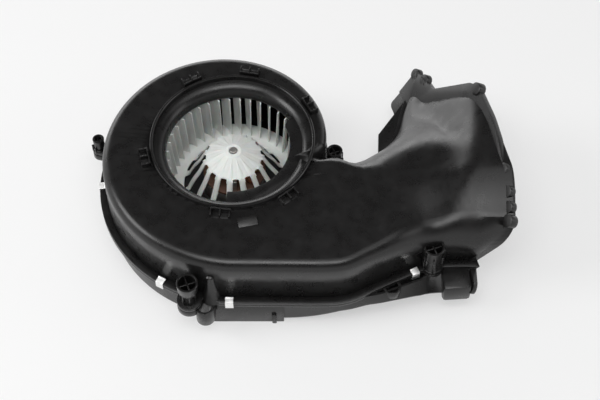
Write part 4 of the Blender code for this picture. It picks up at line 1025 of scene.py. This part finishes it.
@dataclass
class UpperShell:
    """The upper half of the housing, with its inlet, towers and half of the outlet flange."""

    form: HousingForm
    workshop: Workshop
    finish: Finish = Finishes.HOUSING
    ring_radius: float = 81.0
    ring_width: float = 3.0
    ring_height: float = 5.0
    throat_radius: float = 67.0
    throat_height: float = 86.5
    bell_thickness: float = 2.2
    shield_radius: float = 57.3
    shield_start: float = -94.0
    shield_end: float = 32.5
    shield_taper: Pair = (8.0, 9.0)
    shield_height: float = 94.5
    shield_thickness: float = 2.5
    bracket_angles: tuple[float, ...] = (29.6, 80.0, 120.0, 194.4, 263.8, 309.3)
    bracket_radius: float = 89.0
    bracket_size: tuple[float, float, float] = (20.0, 9.0, 6.0)
    bracket_wall: float = 1.5
    pad_place: Pair = (17.0, -97.0)
    pad_size: tuple[float, float, float] = (19.0, 10.0, 2.4)
    pad_turn: float = 12.0
    pad_tilt: float = 13.0
    towers: tuple[Tower, ...] = (
        Tower(-40.2, -151.5, 78.0, 10.6, -105.0, 6.6), Tower(197.6, -109.5, 76.0, 10.4, -66.0),
        Tower(102.5, 3.5, 80.0, 8.0, 2.0), Tower(-141.5, 32.0, 62.0, 6.0, 167.0),
    )
    tower_pad: float = 4.4
    fairing_form: tuple[float, float, float, float, float] = (-18.5, -144.0, 77.0, 4.0, 12.0)
    fairing_curve: float = 0.6
    flange_thickness: float = 7.0
    outline: tuple[Pair, ...] = (
        (-166, 140), (-163, 208), (-157, 214), (-128, 226.5), (-100, 236), (-78, 241.5), (-52, 244.2),
        (-18, 243.5), (-3, 239), (29.5, 189.5), (50, 185), (64, 178), (60, 140))
    bosses: tuple[Pair, ...] = ((-160, 214), (-14, 241.5))
    boss_form: Pair = (9.0, 6.6)
    boss_bore: float = 2.2
    ears: tuple[Pair, ...] = ((-147, 219.5), (-132.5, 225.5), (-109, 231.5), (47, 184), (62, 176))
    ear_form: Pair = (7.0, 6.2)

    def base(self) -> float:
        """Height of the shell's underside at the split."""
        return self.form.split + self.form.gap / 2

    def skin(self) -> BMesh:
        """The outer face of the shell, open at the split, the inlet and the outlet."""
        stations = self.form.upper_stations()
        bm, loop = self.form.sheet(stations, 0.0, self.base(), Side.UPPER)
        self.form.capped(bm, loop, 0.0, Side.UPPER, self.ring_radius - 0.7)
        self.form.at_outlet(bm)
        outward(bm)
        top = max(bm.faces, key=lambda f: f.calc_center_median().z)
        if top.normal.z < 0:
            bmesh.ops.reverse_faces(bm, faces=bm.faces)
        return bm

    def bellmouth(self) -> BMesh:
        """The raised ring with the rounded mouth that leads down to the throat."""
        outer, inner = self.ring_radius + self.ring_width / 2, self.ring_radius - self.ring_width / 2
        top = self.form.top + self.ring_height
        depth = self.form.top - self.throat_height
        run = inner - self.throat_radius
        skin = []
        for i in range(13):
            angle = 0.5 * math.pi * i / 12
            level = self.form.top - 1 - (depth - 1) * (1 - math.cos(angle))
            skin.append((inner - run * math.sin(angle), level))
        back = [(r + 0.4 * self.bell_thickness, z - self.bell_thickness) for r, z in reversed(skin)]
        profile = [
            (outer, self.form.top - 1.0), (outer, top - 0.8), (outer - 0.8, top), (inner + 0.8, top),
            (inner, top - 0.8)]
        profile += skin + back[:-1] + [(inner, self.form.top - self.form.wall - 1.6)]
        return turned(profile, 160)

    def shield(self) -> BMesh:
        """The crescent that covers part of the inlet, narrowing at its far end."""
        steps = 60
        span = self.shield_end - self.shield_start
        angles = [self.shield_start + span * i / steps for i in range(steps + 1)]
        outer = [polar(self.ring_radius - self.ring_width / 2 + 0.8, a) for a in angles]
        run, rise = self.shield_taper
        start = self.shield_end - run
        inner = [polar(self.shield_radius + rise * ease((a - start) / run), a) for a in angles]
        low = self.shield_height - self.shield_thickness
        return prism(outer + inner[::-1], low, self.shield_height, 0.5)

    def bracket(self, angle: float) -> BMesh:
        """A small bracket beside the inlet: a back wall with three prongs that point outwards."""
        wide, deep, high = self.bracket_size
        turn = angle - 90
        level = self.form.top + high / 2 - 1
        wall = self.bracket_wall
        back = polar(self.bracket_radius - deep / 2 + wall / 2, angle)
        parts = [block((wide, wall, high + 2), (*back, level), turn, 0.35)]
        for side in (-1, 0, 1):
            middle = polar(self.bracket_radius, angle) + polar(side * (wide - wall) / 2, turn)
            parts.append(block((wall, deep, high + 2 - 1.5 * abs(side)), (*middle, level), turn, 0.4))
        sill = polar(self.bracket_radius, angle)
        parts.append(block((wide, deep, 1.6), (*sill, self.form.top), turn, 0.3))
        return gathered(*parts)

    def pad(self) -> BMesh:
        """The small raised pad in front of the inlet, a little higher at its back."""
        pad = block(self.pad_size, (0, 0, 0), 0.0, 0.3)
        tilt = Matrix.Rotation(math.radians(self.pad_tilt), 4, "X")
        turn = Matrix.Rotation(math.radians(self.pad_turn), 4, "Z")
        place = Matrix.Translation((*self.pad_place, self.form.top + 0.6))
        bmesh.ops.transform(pad, verts=pad.verts, matrix=place @ turn @ tilt)
        return pad

    def fairing(self) -> BMesh:
        """The cone that stands against the wall beside the first tower."""
        x, y, top, narrow, wide = self.fairing_form
        base = self.base()
        profile = [(0, base)]
        for i in range(9):
            share = i / 8
            radius = wide + (narrow - wide) * share ** self.fairing_curve
            profile.append((radius, base + (top - base) * share))
        profile += [(narrow - 1.5, top + 1.2), (0, top + 1.6)]
        return turned(profile, 40, centre=(x, y), closed=False)

    def flange(self) -> BMesh:
        """The upper part of the outlet flange, round the air channel."""
        plate = self.form.flange_plate(self.outline, self.flange_thickness, self.base() + 0.5, 300.0)
        room = self.form.solid(self.form.upper_stations(), self.form.wall, self.base() - 5, Side.UPPER)
        plate = combined(plate, room, Operation.CUT)
        round_edges(plate, 0.5)
        return plate

    def build(self) -> None:
        """Builds every piece of the shell."""
        place = self.workshop.place
        skin = place("upper_shell_skin", self.skin(), self.finish, sharp=60.0)
        wall = skin.modifiers.new("wall", "SOLIDIFY")
        wall.thickness = self.form.wall * MM
        wall.offset = -1.0
        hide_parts("upper_shell")
        base = self.base()
        place("upper_split_flange", self.form.ledge(base, base + self.form.ledge_thickness, 0.5), self.finish)
        place("inlet_ring", self.bellmouth(), self.finish)
        place("inlet_shield", self.shield(), self.finish)
        for i, angle in enumerate(self.bracket_angles, 1):
            place(f"inlet_bracket_{i}", self.bracket(angle), self.finish)
        place("raised_pad", self.pad(), self.finish)
        place("tower_fairing", self.fairing(), self.finish)
        for i, tower in enumerate(self.towers, 1):
            place(f"tower_{i}", tower.tube(base + 1), self.finish)
            place(f"tower_cross_{i}", tower.cross(), self.finish)
            place(f"tower_ribs_{i}", tower.ribs(base + 1), self.finish)
            place(f"tower_web_{i}", tower.web(base + 1), self.finish)
            place(f"tower_tab_{i}", tower.tab(base + 0.5, base + self.tower_pad), self.finish)
        place("outlet_flange_upper", self.flange(), self.finish)
        for i, point in enumerate(self.bosses, 1):
            place(f"outlet_boss_{i}", self.form.lug(point, *self.boss_form, 40, self.boss_bore), self.finish)
        for i, point in enumerate(self.ears, 1):
            place(f"outlet_ear_{i}", self.form.lug(point, *self.ear_form, 32), self.finish)


@dataclass
class LowerShell:
    """The lower half of the housing, with its skirt, loops, foot and motor seat."""

    form: HousingForm
    workshop: Workshop
    towers: tuple[Tower, ...]
    finish: Finish = Finishes.HOUSING
    seat_hole: float = 63.0
    seat_radius: float = 80.3
    seat_height: float = 5.0
    boss_circle: float = 71.5
    boss_radius: float = 5.0
    boss_height: float = 10.0
    catches: tuple[tuple[float, float, float], ...] = ((-25.0, -157.0, -97.0), (157.5, -134.0, -65.0))
    catch_radius: float = 9.2
    catch_hole: float = 6.4
    catch_heights: tuple[float, ...] = (21.0, 9.0)
    outline: tuple[Pair, ...] = ((-194, 134), (60, 128), (62, 170), (-160, 170), (-166, 153), (-190, 144))
    flange_thickness: float = 5.0
    gusset: tuple[Pair, ...] = ((178, 96), (150, 53), (149, 30), (165, 40))
    corner_size: tuple[float, float, float] = (28.0, 30.0, 24.0)
    corner_place: tuple[float, float, float] = (221.0, -122.0, 31.0)
    corner_turn: float = 4.0
    corner_rounding: float = 3.5
    foot_size: tuple[float, float, float] = (75.0, 14.0, 37.0)
    foot_place: tuple[float, float, float] = (14.0, -142.8, 18.5)
    foot_rib: tuple[float, float, float] = (4.5, 6.0, 16.0)
    foot_rib_place: tuple[float, float, float] = (42.0, -149.0, 8.0)

    def top(self) -> float:
        """Height of the shell's upper face at the split."""
        return self.form.split - self.form.gap / 2

    def pocket(self) -> BMesh:
        """The open pocket between the split flange and the skirt."""
        inner, outer = [], []
        for plain, skirted in zip(self.form.lower_stations(0), self.form.lower_stations(1)):
            depth = plain.point.y - skirted.point.y - self.form.skirt_wall
            if depth > self.form.ledge_width + 2 * self.form.gap:
                inner.append(plain.point - Vector((0, self.form.ledge_width + self.form.gap)))
                outer.append(skirted.point + Vector((0, self.form.skirt_wall)))
        return prism(inner + outer[::-1], self.top() - self.form.pocket_depth, self.top() + 1)

    def shell(self) -> BMesh:
        """The moulded bowl with its air channel, its pocket and the hole for the motor."""
        form = self.form
        body = form.solid(form.lower_stations(1), 0.0, self.top() - 1, Side.LOWER)
        body = combined(body, self.pocket(), Operation.CUT)
        room = form.solid(form.lower_stations(0), form.wall, self.top() + 5, Side.LOWER)
        body = combined(body, room, Operation.CUT)
        reach = self.seat_radius + 1.2
        hole = turned(((0, -2), (reach, -2), (reach, 4), (0, 4)), 144, closed=False)
        body = combined(body, hole, Operation.CUT)
        normal = form.outlet_axes()[0]
        axes = Vector((0, 0, 1)).rotation_difference(normal).to_matrix().to_4x4()
        past = bmesh.new()
        place = Matrix.Translation(normal * (form.outlet_distance + 150)) @ axes
        bmesh.ops.create_cube(past, size=1.0, matrix=place @ Matrix.Diagonal((800, 800, 300, 1)))
        return combined(body, past, Operation.CUT)

    def seat(self) -> BMesh:
        """The raised ring in the floor that the motor carrier is screwed under."""
        inner, outer = self.seat_radius, self.seat_radius + self.form.wall
        high = self.seat_height + self.form.wall
        bm = turned(
            ((outer, 0), (outer, high), (self.seat_hole, high), (self.seat_hole, self.seat_height),
             (inner, self.seat_height), (inner, 0)), 144)
        round_edges(bm, 0.4)
        return bm

    def catch(self, x: float, y: float, facing: float, high: float) -> BMesh:
        """A half-round loop that stands out from the split flange."""
        points = [polar(self.catch_radius, facing - 90 + 180 * i / 24) for i in range(25)]
        back = polar(6.0, facing + 180)
        loop = [points[0] + back] + points + [points[-1] + back]
        low, top, hole = self.top() - high, self.top(), self.catch_hole
        body = prism([(p.x + x, p.y + y) for p in loop], low, top)
        profile = ((0, low - 1), (hole, low - 1), (hole, top + 1), (0, top + 1))
        body = combined(body, turned(profile, 40, centre=(x, y), closed=False), Operation.CUT)
        round_edges(body, 0.4)
        return body

    def flange(self) -> BMesh:
        """The lower part of the outlet flange."""
        form = self.form
        plate = form.flange_plate(self.outline, self.flange_thickness, -50.0, self.top() - 0.5)
        room = form.solid(form.lower_stations(0), form.wall, self.top() + 5, Side.LOWER)
        plate = combined(plate, room, Operation.CUT)
        round_edges(plate, 0.5)
        return plate

    def build(self) -> None:
        """Builds every piece of the shell."""
        place, form, top = self.workshop.place, self.form, self.top()
        shell = place("lower_shell_bowl", self.shell(), self.finish)
        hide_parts("lower_shell")
        place("lower_split_flange", form.ledge(top - form.ledge_thickness, top, 0.5), self.finish)
        place("outlet_flange_lower", self.flange(), self.finish)
        place("motor_seat", self.seat(), self.finish)
        roof = self.seat_height + form.wall
        crest = roof + self.boss_height
        profile = (
            (0, roof - 0.5), (self.boss_radius, roof - 0.5), (self.boss_radius, crest - 0.5),
            (self.boss_radius - 0.5, crest), (0, crest))
        for i in range(4):
            boss = turned(profile, 32, centre=tuple(polar(self.boss_circle, 45 + 90 * i)), closed=False)
            place(f"seat_boss_{i + 1}", boss, self.finish)
        for i, (spot, high) in enumerate(zip(self.catches, self.catch_heights), 1):
            place(f"loop_catch_{i}", self.catch(*spot, high), self.finish)
        for i, tower in enumerate(self.towers, 1):
            place(f"tower_foot_{i}", tower.tab(top - 8, top - 0.5), self.finish)
        place("duct_gusset", prism(self.gusset, top - form.ledge_thickness, top - 0.5, 0.4), self.finish)
        box = block(self.corner_size, self.corner_place, self.corner_turn, self.corner_rounding)
        place("corner_box", box, self.finish)
        place("front_foot", block(self.foot_size, self.foot_place, 0.0, 0.8), self.finish)
        place("foot_rib", block(self.foot_rib, self.foot_rib_place, 0.0, 0.8), self.finish)


@dataclass
class FanWheel:
    """The moulded squirrel cage wheel: spoked dome, backplate, blades and rim band."""

    workshop: Workshop
    finish: Finish = Finishes.WHEEL
    radius: float = 76.0
    blade_inner: float = 61.0
    blade_top_inner: float = 65.0
    blade_count: int = 38
    blade_advance: float = 6.5
    blade_thickness: float = 1.1
    bottom: float = 28.0
    top: float = 84.0
    backplate: float = 2.0
    band_height: float = 4.0
    band_thickness: float = 1.4
    dome: tuple[Pair, ...] = (
        (60.0, 0.0), (53.0, 0.2), (50.0, 2.0), (48.0, 7.0), (45.5, 13.0), (42.5, 19.0), (39.5, 24.0),
        (36.5, 29.5), (34.0, 35.0), (31.5, 39.8), (28.5, 43.0), (23.0, 46.0), (16.0, 49.6), (11.5, 52.4),
        (9.0, 53.4))
    dome_thickness: float = 2.0
    hub_radius: float = 6.8
    bore: float = 4.3
    windows: int = 15
    window_inner: float = 28.0
    window_outer: float = 52.0
    spoke_width: float = 6.6
    ridge: float = 1.0
    ridge_run: float = 14.0
    spoke_run: float = 12.0
    columns: int = 8

    def dome_rows(self) -> list[Pair]:
        """Radius and height of the rows of the dome's skin, from its rim to its bore."""
        curve = [(p.x, p.y) for p in smooth_curve(self.dome, 2.5)] + [self.dome[-1]]
        rows = [(self.blade_inner + 1.5, 0.0)]
        rows += [(r, z) for r, z in curve if r < self.blade_inner - 0.5]
        rows += [(self.hub_radius + 2, self.dome[-1][1] + 0.8), (self.hub_radius, self.dome[-1][1] + 1.2),
                 (self.bore + 1.0, self.dome[-1][1] + 1.3), (self.bore, self.dome[-1][1] + 1.3)]
        return [(r, z + self.bottom + self.backplate) for r, z in rows]

    def dome_skin(self) -> BMesh:
        """The dome as a sheet with its windows left out."""
        count = self.windows * self.columns
        bm = turned(self.dome_rows(), count, closed=False)
        pitch = 360 / self.windows
        column = pitch / self.columns
        for vert in bm.verts:
            radius = vert.co.xy.length
            angle = math.degrees(math.atan2(vert.co.y, vert.co.x)) % 360
            step = round(angle / column)
            spoke = round(step / self.columns)
            side = step - spoke * self.columns
            if side == 0:
                fade = ease((self.window_inner + self.ridge_run - radius) / self.ridge_run)
                vert.co.z += self.ridge * ease((radius - 8) / 8) * fade
            if abs(side) == 1 and radius > self.window_inner - self.spoke_run:
                reach = math.degrees(self.spoke_width / 2 / radius)
                share = ease((radius - self.window_inner + self.spoke_run) / 10)
                turn = side * (column + (reach - column) * share)
                vert.co.xy = polar(radius, spoke * pitch + turn)
        gone = []
        for face in bm.faces:
            middle = face.calc_center_median()
            radius = middle.xy.length
            angle = math.degrees(math.atan2(middle.y, middle.x)) % pitch
            off = min(angle, pitch - angle)
            between = off > math.degrees(self.spoke_width / 2 / radius)
            if between and self.window_inner < radius < self.window_outer:
                gone.append(face)
        bmesh.ops.delete(bm, geom=gone, context="FACES")
        bmesh.ops.recalc_face_normals(bm, faces=bm.faces)
        crest = max(bm.faces, key=lambda f: f.calc_center_median().z)
        if crest.normal.z < 0:
            bmesh.ops.reverse_faces(bm, faces=bm.faces)
        return bm

    def blade(self, angle: float) -> BMesh:
        """One forward curved blade with a rounded nose."""
        steps = 10
        inner, outer = self.blade_inner, self.radius - 1.0
        front, back = [], []
        for i in range(steps + 1):
            share = i / steps
            radius = inner + (outer - inner) * share
            lead = self.blade_advance * share ** 1.8
            taper = 1.25 - 0.75 * share
            nose = math.sqrt(min(1.0, (i + 0.35) / 1.5))
            side = math.degrees(0.5 * self.blade_thickness * taper * nose / radius)
            front.append(polar(radius, angle + lead + side))
            back.append(polar(radius, angle + lead - side))
        bm = prism(front + back[::-1], self.bottom + 0.5, self.top - 0.5)
        narrowing = (outer - self.blade_top_inner) / (outer - inner)
        for vert in bm.verts:
            if vert.co.z > self.bottom + 1:
                radius = vert.co.xy.length
                vert.co.xy *= (outer - (outer - radius) * narrowing) / radius
        return bm

    def build(self) -> None:
        """Builds every piece of the wheel."""
        place = self.workshop.place
        dome = place("wheel_dome", self.dome_skin(), self.finish, "rotor", 70.0)
        wall = dome.modifiers.new("wall", "SOLIDIFY")
        wall.thickness = self.dome_thickness * MM
        wall.offset = -1.0
        soft = dome.modifiers.new("soft", "SUBSURF")
        soft.levels = soft.render_levels = 1
        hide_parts("fan_wheel")
        ring = turned(
            ((self.radius, self.bottom), (self.radius, self.bottom + self.backplate),
             (self.blade_inner - 1, self.bottom + self.backplate), (self.blade_inner - 1, self.bottom)), 120)
        round_edges(ring, 0.5)
        place("wheel_backplate", ring, self.finish, "rotor")
        blades = gathered(*[self.blade(360 / self.blade_count * i) for i in range(self.blade_count)])
        place("wheel_blades", blades, self.finish, "rotor")
        inner = self.radius - 1.0 - self.band_thickness / 2
        band = turned(
            ((inner, self.top - self.band_height), (inner + self.band_thickness, self.top - self.band_height),
             (inner + self.band_thickness, self.top), (inner, self.top)), 160)
        round_edges(band, 0.4)
        place("wheel_band", band, self.finish, "rotor")
        crest = self.dome[-1][1] + self.bottom
        hub = turned(
            ((self.bore, crest - 8), (self.hub_radius, crest - 8), (self.hub_radius, crest + 1.0),
             (self.bore, crest + 1.0)), 64)
        place("wheel_hub", hub, self.finish, "rotor")


@dataclass
class MotorUnit:
    """The motor, its carrier and the connector, dressed from the nodes of the frame."""

    workshop: Workshop
    rounding: float = 0.25

    def build(self) -> None:
        """Dresses every node that is left."""
        refine = self.workshop.refine
        refine("motor_carrier", Finishes.CARRIER, 0.3)
        refine("connector_socket", Finishes.SOCKET, 0.3)
        refine("motor_can", Finishes.MOTOR_STEEL, self.rounding)
        refine("bearing_bridge", Finishes.MOTOR_STEEL, 0.2)
        refine("brush_plate", Finishes.PHENOLIC, self.rounding)
        refine("motor_shaft", Finishes.MOTOR_STEEL, 0.15)
        refine("armature_core", Finishes.CORE_STEEL, 0.15)
        refine("armature_winding", Finishes.COPPER, 0.4)
        refine("commutator", Finishes.COPPER, 0.15)
        refine("lower_bearing", Finishes.BEARING_STEEL, 0.15)
        refine("upper_bearing", Finishes.BEARING_STEEL, 0.15)
        for i in (1, 2):
            refine(f"magnet_{i}", Finishes.FERRITE, 0.3)
            refine(f"brush_holder_{i}", Finishes.BRASS, 0.15)
            refine(f"carbon_brush_{i}", Finishes.CARBON, 0.2)
            refine(f"brush_spring_{i}", Finishes.SPRING_STEEL, 0.0)
            refine(f"choke_coil_{i}", Finishes.COPPER, 0.15)
        for i in range(1, 4):
            refine(f"rubber_mount_{i}", Finishes.RUBBER, 0.3)
            refine(f"terminal_{i}", Finishes.BRASS, 0.15)
        for i in range(1, 5):
            refine(f"carrier_screw_{i}", Finishes.MOTOR_STEEL, 0.2)
        for i in range(1, 8):
            refine(f"joint_clip_{i}", Finishes.SPRING_STEEL, 0.15)


@dataclass
class Studio:
    """The pale floor, the soft lights and the camera at the photograph's angle. Sizes are in metres."""

    camera_place: tuple[float, float, float] = (0.06735, -0.84079, 1.21964)
    camera_tilt: float = 34.5
    lens: float = 84.0
    sensor: float = 36.0
    floor_size: float = 6.0
    aim: tuple[float, float, float] = (0.05, 0.0, 0.05)

    def camera(self) -> None:
        """The camera."""
        data = bpy.data.cameras.new("camera")
        data.lens = self.lens
        data.sensor_width = self.sensor
        obj = bpy.data.objects.new("camera", data)
        obj.location = self.camera_place
        obj.rotation_euler = (math.radians(self.camera_tilt), 0.0, 0.0)
        bpy.context.scene.collection.objects.link(obj)
        bpy.context.scene.camera = obj

    def softbox(self, name: str, place: Sequence[float], size: Pair, radiance: float) -> None:
        """A rectangular area light that faces the object and stays out of the picture.

        Args:
            name: Its name.
            place: Its place.
            size: Its width and height.
            radiance: How bright its face is, where 1 is white.
        """
        data = bpy.data.lights.new(name, "AREA")
        data.shape = "RECTANGLE"
        data.size, data.size_y = size
        data.energy = radiance * math.pi * size[0] * size[1]
        obj = bpy.data.objects.new(name, data)
        obj.location = place
        obj.rotation_euler = (Vector(place) - Vector(self.aim)).to_track_quat("Z", "Y").to_euler()
        obj.visible_camera = False
        bpy.context.scene.collection.objects.link(obj)

    def floor(self) -> None:
        """The white floor, a little glossy, and partly lit from itself for the camera and in reflections."""
        bm = bmesh.new()
        bmesh.ops.create_grid(bm, x_segments=1, y_segments=1, size=self.floor_size / 2)
        mesh = bpy.data.meshes.new("floor")
        bm.to_mesh(mesh)
        bm.free()
        obj = bpy.data.objects.new("floor", mesh)
        bpy.context.scene.collection.objects.link(obj)
        shading = Shading("white_table")
        cloud = shading.noise(60.0, 2.0)
        shading.surface(Base_Color=(0.84, 0.84, 0.84, 1.0), Roughness=shading.spread(cloud, 0.16, 0.22))
        glow = shading.node("ShaderNodeEmission")
        shading.feed(glow.inputs["Color"], (1.0, 1.0, 1.0, 1.0))
        mix = shading.node("ShaderNodeMixShader")
        rays = shading.node("ShaderNodeLightPath")
        seen = shading.math("MAXIMUM", rays.outputs["Is Camera Ray"], rays.outputs["Is Glossy Ray"])
        shading.feed(mix.inputs[0], shading.math("MULTIPLY", seen, 0.5))
        shading.feed(mix.inputs[1], shading.shader.outputs["BSDF"])
        shading.feed(mix.inputs[2], glow.outputs["Emission"])
        shading.feed(shading.tree.nodes["Material Output"].inputs["Surface"], mix.outputs["Shader"])
        mesh.materials.append(shading.material)

    def world(self) -> None:
        """A white backdrop for the camera, and a studio that darkens upwards for light and reflections."""
        world = bpy.data.worlds.new("studio")
        world.use_nodes = True
        bpy.context.scene.world = world
        nodes, links = world.node_tree.nodes, world.node_tree.links
        places = nodes.new("ShaderNodeTexCoord")
        split = nodes.new("ShaderNodeSeparateXYZ")
        links.new(places.outputs["Generated"], split.inputs["Vector"])
        ramp = nodes.new("ShaderNodeValToRGB")
        ramp.color_ramp.elements[0].position = 0.1
        ramp.color_ramp.elements[0].color = (1.0, 1.0, 1.0, 1.0)
        ramp.color_ramp.elements[1].position = 0.55
        ramp.color_ramp.elements[1].color = (0.07, 0.07, 0.07, 1.0)
        links.new(split.outputs["Z"], ramp.inputs["Fac"])
        rays = nodes.new("ShaderNodeLightPath")
        mix = nodes.new("ShaderNodeMix")
        mix.data_type = "RGBA"
        links.new(rays.outputs["Is Camera Ray"], mix.inputs["Factor"])
        links.new(ramp.outputs["Color"], mix.inputs[6])
        mix.inputs[7].default_value = (1.0, 1.0, 1.0, 1.0)
        links.new(mix.outputs[2], nodes["Background"].inputs["Color"])

    def build(self) -> None:
        """Builds the studio."""
        self.camera()
        self.floor()
        self.world()
        self.softbox("overhead_panel", (0.15, -0.25, 1.9), (2.4, 1.3), 1.1)
        self.softbox("overhead_softbox", (0.0, -0.65, 1.7), (1.2, 0.7), 4.2)
        self.softbox("left_softbox", (-1.5, -0.1, 1.3), (0.9, 0.9), 6.5)
        self.softbox("right_softbox", (1.9, -0.2, 1.0), (0.8, 1.0), 1.6)
        self.softbox("back_panel", (-0.7, 2.0, 0.5), (3.2, 0.9), 2.4)
        bpy.context.scene.view_settings.view_transform = "Standard"


def main() -> None:
    """Builds the classes in order."""
    logging.basicConfig(level=logging.INFO, format="%(name)s: %(message)s")
    workshop = Workshop()
    form = HousingForm()
    upper = UpperShell(form, workshop)
    upper.build()
    LowerShell(form, workshop, upper.towers).build()
    FanWheel(workshop).build()
    MotorUnit(workshop).build()
    Studio().build()
    log.info("%d pieces", len(workshop.made))
    bpy.context.view_layer.update()


if __name__ == "__main__":
    main()
